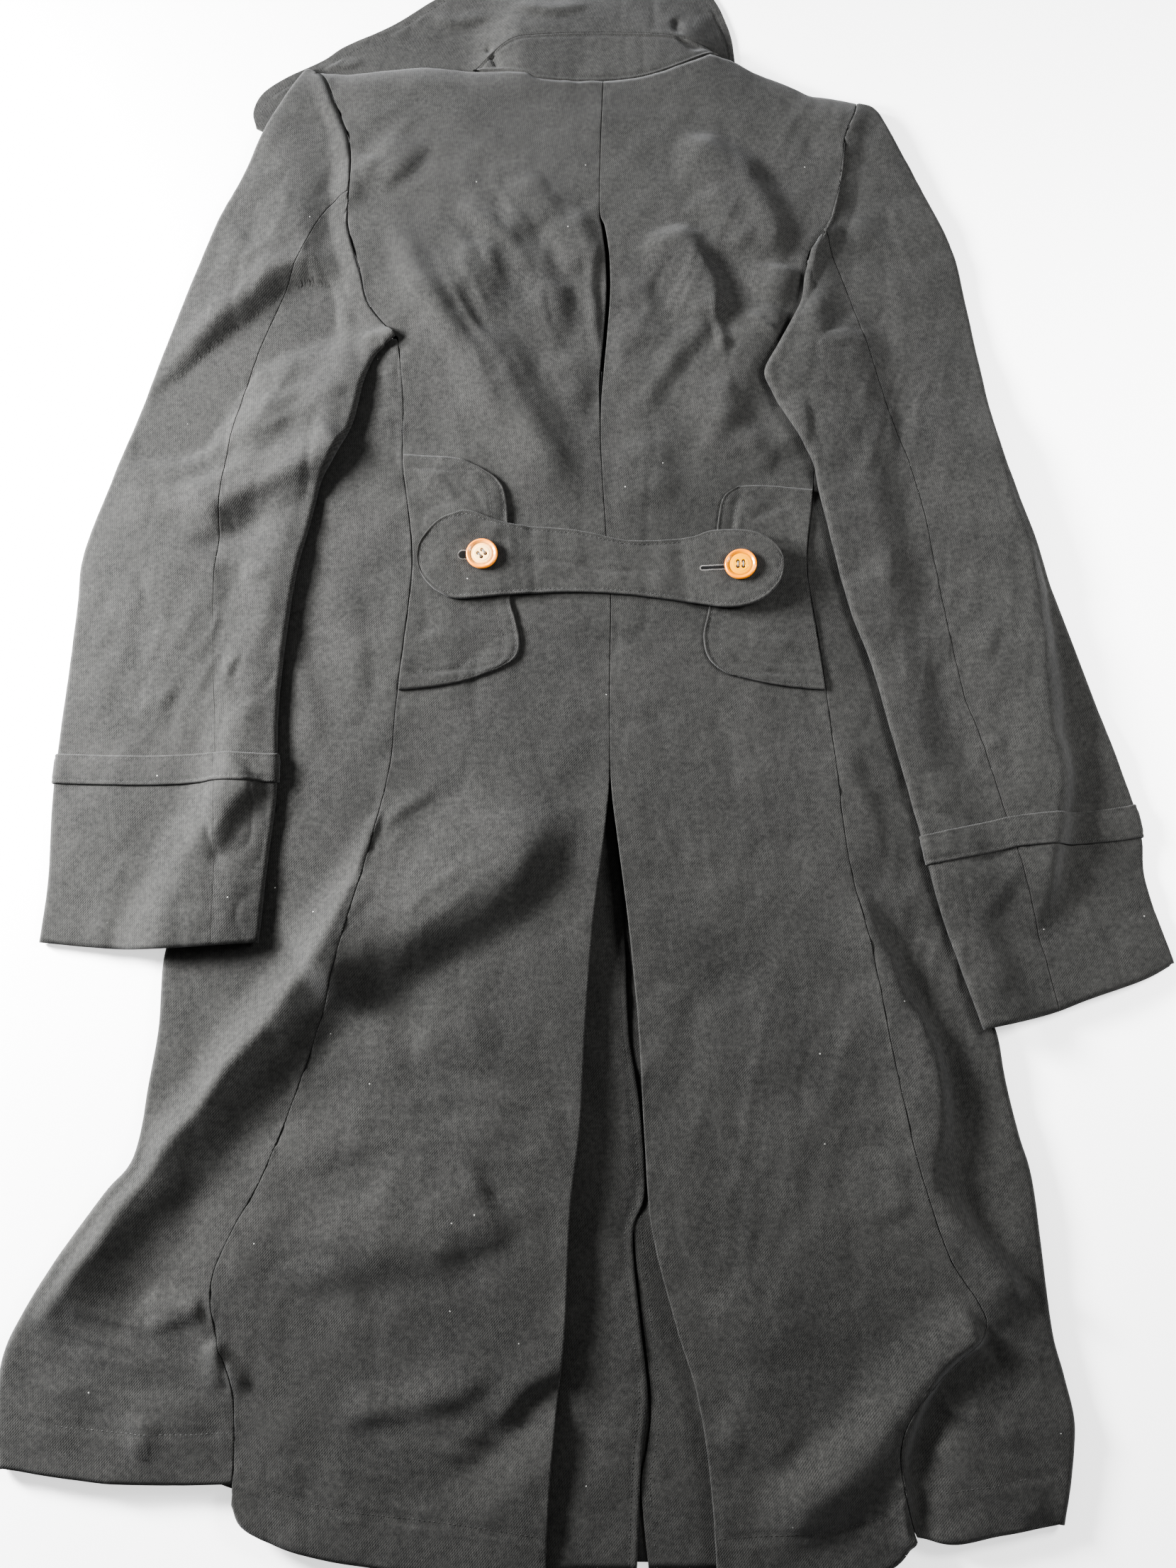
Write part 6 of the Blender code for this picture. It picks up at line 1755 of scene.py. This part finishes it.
def overcast(name, end, radius, reach):
    """Short stitches across the edge of a slit, side by side all round it."""
    line = resample(slit_outline(end, radius + 0.35, reach), np.linspace(0, 1, 300))
    lifted = on_grid(belt, line)
    centres, ways = along_line(lifted, SATIN_PITCH)
    across = np.cross(ways, (0, 0, 1.0))
    stray = np.random.default_rng(7).uniform(-SATIN_STRAY, SATIN_STRAY, (len(centres), 3))
    across = across / np.linalg.norm(across, axis=1, keepdims=True) + stray
    return add_capsules(name, centres + (0, 0, 0.1), across, grey_thread, SATIN_LENGTH,
                        SATIN_THICK)


def painted_slit_shade(name, end, radius, reach, material):
    """A flat lens of painted shade between the overcast edges: its grid runs along the slit and
    across it, and its half width follows the round end."""
    along = np.linspace(-radius, reach, 40)[:, None]
    half = radius * np.sqrt(np.clip(1 - np.clip(-along / radius, 0, 1) ** 2, 0.02, 1))
    across = np.linspace(-1, 1, 9)[None]
    plan = np.dstack([end[0] + along + 0 * across, end[1] + half * across])
    z = on_grid(belt, plan.reshape(-1, 2))[:, 2].reshape(plan.shape[:2]) + 0.1
    outer = np.dstack([plan, z])
    return add_wall(name, outer, outer - (0, 0, 0.5), material)


# painted shade: a nearly black twill for the buttonhole insides and the cords under the seams
painted_shade_black = twill("shaded inside", (0.001, 0.001, 0.001, 1), (0.004, 0.004, 0.004, 1), 0.5)
for side, hole in HOLES.items():
    trims.append((overcast("buttonhole_thread_" + side, *hole), "twill"))
for side, hole in HOLES.items():
    trims.append((painted_slit_shade("buttonhole_painted_shade_" + side, *hole, painted_shade_black), "twill"))

# %% [markdown]
# ## Under the seams
#
# On a real coat the cloth that turns in behind a seam closes it. Here the panels lie a third of a
# millimetre apart, so that they never touch. A strip of cloth under the gap would do, but a cord
# needs fewer points and bends with it. The cord is nearly black: painted shade that makes each seam
# a dark line.

# %% Cords of painted shade under the seams
CORD_RADIUS, CORD_DEPTH = 0.42, 0.66


def add_cords(name, lines, material, radius):
    """Thin round cords along lines in space: a ring round each point, square
    to the line, and faces from ring to ring. They lie in one mesh."""
    turn = np.linspace(0, 2 * math.pi, CAPSULE_SIDES, endpoint=False)
    points, faces, start = [], [], 0
    for line in lines:
        way = np.gradient(line, axis=0)
        way /= np.linalg.norm(way, axis=1, keepdims=True)
        side = np.cross((0, 0, 1.0), way)
        side /= np.linalg.norm(side, axis=1, keepdims=True)
        up = np.cross(way, side)
        ring = side[:, None] * np.cos(turn)[:, None] + up[:, None] * np.sin(turn)[:, None]
        points.append((line[:, None] + ring * radius).reshape(-1, 3))
        faces.append(tube_faces(len(line), CAPSULE_SIDES) + start)
        start += len(points[-1])
    print(f"{name}: {len(lines)} lines")
    return add_mesh(name, place(np.vstack(points)), np.vstack(faces), material)


middle = (grids["back", "left"][:, 0] + grids["back", "right"][:, 0]) / 2
above_slit = middle[:, 1] < PLEAT_OPEN[0] + 2
below_slit = (middle[:, 1] > PLEAT_OPEN[1] - 25) & (middle[:, 1] < VENT_OPEN + 6)
painted_seam_shades = {"back_seam_painted_shade": [middle[above_slit], middle[below_slit]]}
for side in SIDES:
    back = grids["back", side]
    neck = back[0][np.abs(back[0, :, 0]) < abs(NECK[side][-1][0]) - 1]
    painted_seam_shades["back_seam_painted_shade"] += [back[:-2, -1], neck]
    top, under = sleeves["top", side], sleeves["under", side]
    painted_seam_shades["sleeve_ditch_" + side] = [(top[2:-1, 0] + under[2:-1, 0]) / 2]
# each cord is nearly black, painted shade in the gap of a seam
for name, lines in painted_seam_shades.items():
    cords = add_cords(name, [line - (0, 0, CORD_DEPTH) for line in lines], painted_shade_black, CORD_RADIUS)
    trims.append((cords, "twill"))

# %% [markdown]
# ## Buttons
#
# A four-hole button is turned from a profile: a rounded rim, a groove inside it and a shallow dish.
# Here that profile is carried round, and the holes are pits pressed into it. The plastic is amber
# with soft marbling. Its paler middle is a painted highlight, strongest on the left button, and the
# groove and the pits carry painted shade.

# %% Button plastic
BUTTON_GROOVE = 0.72  # the groove's place between the middle, 0, and the edge, 1
# painted shade: the colour laid into the holes and along the groove
HOLE_SHADE = (0.05, 0.008, 0.003, 1)


def amber(name, middle, rim):
    """Colour by two numbers stored in the UV map: the distance from the middle and the depth in a
    hole. The middle colour is a painted highlight, a ring of painted shade lies along the groove,
    and the holes are painted dark as shade. Noise marbles it, and a clear coat gives the gloss."""
    mat, add, shader = start_material(name)
    spot = add("ShaderNodeTexCoord").outputs["Object"]
    stored = add("ShaderNodeUVMap", uv_map="weave").outputs[0]
    out, deep = add("ShaderNodeSeparateXYZ", {0: stored}).outputs[:2]
    marble = noise(add, spot, 210.0, 4.0, distortion=1.2)
    reach = plus(add, out, math_node(add, "MULTIPLY_ADD", marble, 0.3, -0.15))
    # the paler middle that this blends into the rim is a painted highlight
    step = remap(add, reach, BUTTON_GROOVE - 0.3, BUTTON_GROOVE + 0.26,
                 interpolation_type="SMOOTHSTEP")
    # ring and shade darken the groove and the holes: painted shade
    ring = math_node(add, "ABSOLUTE", math_node(add, "SUBTRACT", out, BUTTON_GROOVE))
    shade = times(add, remap(add, ring, 0.06, 0.0), 0.55)
    shade = math_node(add, "MAXIMUM", shade, deep)
    colour = blend(add, shade, blend(add, step, middle, rim), HOLE_SHADE)
    scratches = noise(add, spot, 900.0, 3.0)
    return finish_material(mat, add, shader, colour, scratches, 0.15, 0.0001, {
        "Roughness": 0.24, "Coat Weight": 0.5, "Coat Roughness": 0.08,
        "Subsurface Weight": 0.15, "Subsurface Radius": (0.002, 0.001, 0.0006)})


# lit and shaded copies of one plastic: the left button has the stronger painted highlight
amber_painted_highlight = amber("amber with painted highlight", (0.98, 0.68, 0.34, 1), (0.88, 0.3, 0.035, 1))
amber_right = amber("amber plastic", (0.72, 0.33, 0.008, 1), (0.74, 0.24, 0.008, 1))

# %% Turn the buttons
BUTTON_RADIUS = 10.75
BUTTON_PROFILE = [
    (5.3, 2.3), (6.1, 2.35), (6.8, 2.3), (7.3, 2.05), (7.8, 1.95), (8.25, 2.15), (8.7, 2.6),
    (9.3, 3.05), (9.9, 3.1), (10.35, 2.75), (10.65, 2.1), (10.75, 1.5), (10.6, 0.9), (10.1, 0.4),
    (9.0, 0.1), (6.0, 0.0), (3.0, 0.0), (0.05, 0.0)]
DISH, DISH_RISE, DISH_REACH, DISH_RINGS = 2.3, 0.12, 5.3, 28
HOLE_RING, HOLE_RADIUS, HOLE_DEEP, HOLE_SOFT = 2.55, 1.12, 1.7, 0.3
BUTTON_SIDES = 144
BUTTON_GAP = 0.45  # between the belt and a button
BUTTON_TURN = {"left": 4.0, "right": 47.0}  # degrees from one button's holes to the diamond
THREAD_PAIRS = {"left": ((1, 2), (0, 3)), "right": ((0, 3), (1, 2))}  # holes joined by thread
THREAD_STRANDS, THREAD_RISE = (-0.26, 0.26), 0.35
STRAND_LENGTH, STRAND_THICK, STRAND_DIVE = 4.4, 0.24, 2.6


def belt_seat(spot, reach=9.0):
    """Height and slope of the belt under a button: the plane of least squared
    error through the grid points within reach."""
    flat = belt.reshape(-1, 3)
    near = flat[np.hypot(flat[:, 0] - spot[0], flat[:, 1] - spot[1]) < reach]
    system = np.column_stack([near[:, 0] - spot[0], near[:, 1] - spot[1], np.ones(len(near))])
    slope_a, slope_d, height = np.linalg.lstsq(system, near[:, 2], rcond=None)[0]
    return slope_a, slope_d, height + BUTTON_GAP


def turned_button(side, material, seat):
    """The profile carried round its axis, with a pit at each hole: depth times
    a smooth step of how far inside the hole a point lies."""
    slope_a, slope_d, height = seat
    dish = np.column_stack([0.05 + 0.19 * np.arange(DISH_RINGS), np.full(DISH_RINGS, DISH)])
    profile = np.vstack([dish, BUTTON_PROFILE])
    turn = np.linspace(0, 2 * math.pi, BUTTON_SIDES, endpoint=False)
    x, y = profile[:, :1] * np.cos(turn), profile[:, :1] * np.sin(turn)
    pit = np.zeros(x.shape)
    for hole in hole_places(side):
        off = np.hypot(x - hole[0], y - hole[1])
        pit = np.maximum(pit, smooth((HOLE_RADIUS + HOLE_SOFT / 2 - off) / HOLE_SOFT))
    pit[len(dish):] = 0
    inside = (np.arange(len(profile)) < len(dish))[:, None]
    rise = DISH_RISE * np.clip(profile[:, :1] / DISH_REACH, 0, 1) ** 2 * inside
    z = profile[:, 1:] + rise - HOLE_DEEP * pit + height + slope_a * x + slope_d * y
    points = np.dstack([x + BUTTON_AT[side][0], y + BUTTON_AT[side][1], z])
    # the second number darkens the pits in the material, painted shade in the holes
    uv = np.dstack([profile[:, :1] / BUTTON_RADIUS + 0 * x, 0.85 * pit]).reshape(-1, 2)
    return add_mesh("button_turned_" + side, place(points.reshape(-1, 3)),
                    tube_faces(len(profile), BUTTON_SIDES)[:, ::-1], material, uv)


def hole_places(side):
    """The middles of the four holes on a ring round the button's own middle."""
    angle = math.radians(BUTTON_TURN[side]) + np.arange(4) * math.pi / 2
    return np.column_stack([np.cos(angle), np.sin(angle)]) * HOLE_RING


print("points of the profile:", DISH_RINGS + len(BUTTON_PROFILE))

# %% The threads through the holes
def button_threads(side, seat):
    """Two strands from hole to hole on each side, straight over the dish."""
    slope_a, slope_d, height = seat
    holes = hole_places(side)
    centres, ways = [], []
    for a, b in THREAD_PAIRS[side]:
        middle, way = (holes[a] + holes[b]) / 2, holes[b] - holes[a]
        cross = np.array([way[1], -way[0]]) / np.hypot(*way)
        for shift in THREAD_STRANDS:
            spot = middle + cross * shift
            level = height + slope_a * spot[0] + slope_d * spot[1] + DISH + THREAD_RISE
            centres.append([*(spot + BUTTON_AT[side]), level])
            ways.append([*way, slope_a * way[0] + slope_d * way[1]])
    return add_capsules("button_thread_" + side, np.array(centres), np.array(ways), grey_thread,
                        STRAND_LENGTH, STRAND_THICK, STRAND_DIVE)


print("strands on a button:", 2 * len(THREAD_STRANDS))

# %% Both buttons
buttons = {}
for side, material in (("left", amber_painted_highlight), ("right", amber_right)):
    seat = belt_seat(BUTTON_AT[side])
    buttons[side] = turned_button(side, material, seat)
    trims.append((button_threads(side, seat), "twill"))
    print("button", side, "sits at", round(float(seat[2]), 2), "mm")

# %% [markdown]
# ## The table, the light and the camera
#
# A low light from the upper left stands for the window. Two weak ones close by
# keep the sleeves from going dark. The table is pale and glows a little, as an
# overexposed ground does, and the camera is tipped a little toward the hem.

# %% Stage
LIGHTS = [
    # name, place, aim, size in metres, watts
    ("window", (-2.15, 0.95, 0.74), (-0.05, 0.0, 0), 0.42, 120),
    ("window frame", (-0.95, 0.16, 0.4), (-0.36, 0.0, 0), 0.25, 34),
    ("ceiling", (0.66, 0.1, 0.62), (0.36, 0.06, 0), 0.3, 8),
]
ROOM_LIGHT = 0.38
TABLE_HALF, TABLE_DROP = 3, 0.0006  # half its side, and how far it lies under the cloth
CAMERA_OVER, CAMERA_HEIGHT, CAMERA_TILT = (-11.32, 700.2), 0.79, 12  # millimetres, m, degrees
LENS = 27.99  # on a sensor of 36 mm
scene = bpy.context.scene


def area_light(name, spot, aim, size, power):
    """A square soft light at a spot, turned toward a point."""
    data = bpy.data.lights.new(name, "AREA")
    data.size, data.energy = size, power
    lamp = bpy.data.objects.new(name, data)
    lamp.location = spot
    lamp.rotation_euler = (Vector(aim) - Vector(spot)).to_track_quat("-Z", "Y").to_euler()
    scene.collection.objects.link(lamp)


table_paint, _, shader = start_material("pale table")
for key, value in {"Base Color": (0.9, 0.9, 0.9, 1), "Roughness": 0.8,
                   "Emission Color": (1, 1, 1, 1), "Emission Strength": 0.55}.items():
    shader.inputs[key].default_value = value
corners = np.array([(-1, -1), (1, -1), (1, 1), (-1, 1)]) * TABLE_HALF
corners = np.column_stack([corners, np.full(4, -TABLE_DROP)])
table = add_mesh("table", corners, np.array([[0, 1, 2, 3]]), table_paint)
coat.objects.unlink(table)
scene.collection.objects.link(table)
table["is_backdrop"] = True
for row in LIGHTS:
    area_light(*row)
world = bpy.data.worlds.new("room")
world.use_nodes = True
world.node_tree.nodes["Background"].inputs[0].default_value = (1, 1, 1, 1)
world.node_tree.nodes["Background"].inputs[1].default_value = ROOM_LIGHT
scene.world = world
scene.view_settings.look = "AgX - High Contrast"
print("lights:", [row[0] for row in LIGHTS])

# %% Camera
lens = bpy.data.cameras.new("camera")
lens.lens, lens.sensor_width, lens.sensor_fit = LENS, 36.0, "AUTO"
camera = bpy.data.objects.new("camera", lens)
camera.location = place((*CAMERA_OVER, CAMERA_HEIGHT / MM))
camera.rotation_euler = (math.radians(CAMERA_TILT), 0, 0)
scene.collection.objects.link(camera)
scene.camera = camera
print("camera at", tuple(round(v, 4) for v in camera.location))

# %% [markdown]
# ## The pieces in place of the solids
#
# Each cloth piece stands in for its solid, which is hidden, and is attached to the root. The table
# lists how large each flat cut is, how it is held and what it lies on: the cut of what is modelled,
# without the seam allowances and facings.

# %% The flat cuts
FRONTS = ["front_left", "front_right"]
UNDER_BACK = ["front", "side_panel", "vent_underlay"]
PAIRS = {
    # part: how it is held, which parts it lies on, both sides' or only its own, then width and
    # length in metres and area in square metres of the left and of the right one
    "back": ("laid", UNDER_BACK, "both", (0.22, 1.03, 0.172), (0.205, 1.04, 0.155)),
    "side_panel": ("folded", ["front"], "own", (0.175, 0.78, 0.095), (0.137, 0.8, 0.068)),
    "top_sleeve": ("folded", ["side_panel"], "own", (0.225, 0.695, 0.104), (0.25, 0.675, 0.1)),
    "cuff_band": ("laid", ["top_sleeve", "under_sleeve"], "own", (0.155, 0.022, None),
                  (0.15, 0.024, None)),
    "vent_underlay": ("laid", ["front"], "both", (0.08, 0.471, 0.029), (0.068, 0.473, 0.02)),
    "side_tab": ("laid", ["back"], "own", (0.078, 0.171, 0.011), (0.076, 0.156, 0.0095)),
}
CUTS = {
    # the others: width, length, area, how it is held, what it lies on
    "front_left": (0.422, 0.99, 0.285, "laid", ["front_right"]),
    "front_right": (0.334, 1.0, 0.251, "laid", []),
    "under_sleeve_left": (0.275, 0.58, 0.07, "folded", ["side_panel_left"]),
    "under_sleeve_right": (0.15, 0.59, 0.071, "folded", ["side_panel_right", "back_right"]),
    "collar_leaf": (0.49, 0.09, 0.0248, "folded", FRONTS),
    "collar_stand": (0.198, 0.042, 0.0065, "laid", ["collar_leaf"]),
    "pleat_underlay": (0.06, 0.208, None, "laid", ["back_left", "back_right"]),
    "half_belt": (0.25, 0.064, 0.012, "laid", ["side_tab_left", "side_tab_right"]),
}
for part, (held, below, which, *sizes) in PAIRS.items():
    for side, size in zip(SIDES, sizes):
        ends = SIDES if which == "both" else [side]
        CUTS[f"{part}_{side}"] = (*size, held, [f"{low}_{end}" for low in below for end in ends])
print("flat cuts:", len(CUTS), "for", len(cloth), "cloth pieces")

# %% Hide the solids and attach the pieces
for node, obj in cloth.items():
    width, length, area, held, rests_on = CUTS[node]
    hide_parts(node)
    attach(obj, "root")
for side, obj in buttons.items():
    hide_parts("button_" + side)
    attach(obj, "root")
for obj, slot in trims:
    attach(obj, "root")
made = list(cloth.values()) + list(buttons.values()) + [obj for obj, _ in trims]
print("pieces:", len(made), "triangles:", sum(2 * len(o.data.polygons) for o in made))
low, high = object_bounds()
print("visual box:", [round(v, 4) for v in (high - low)])
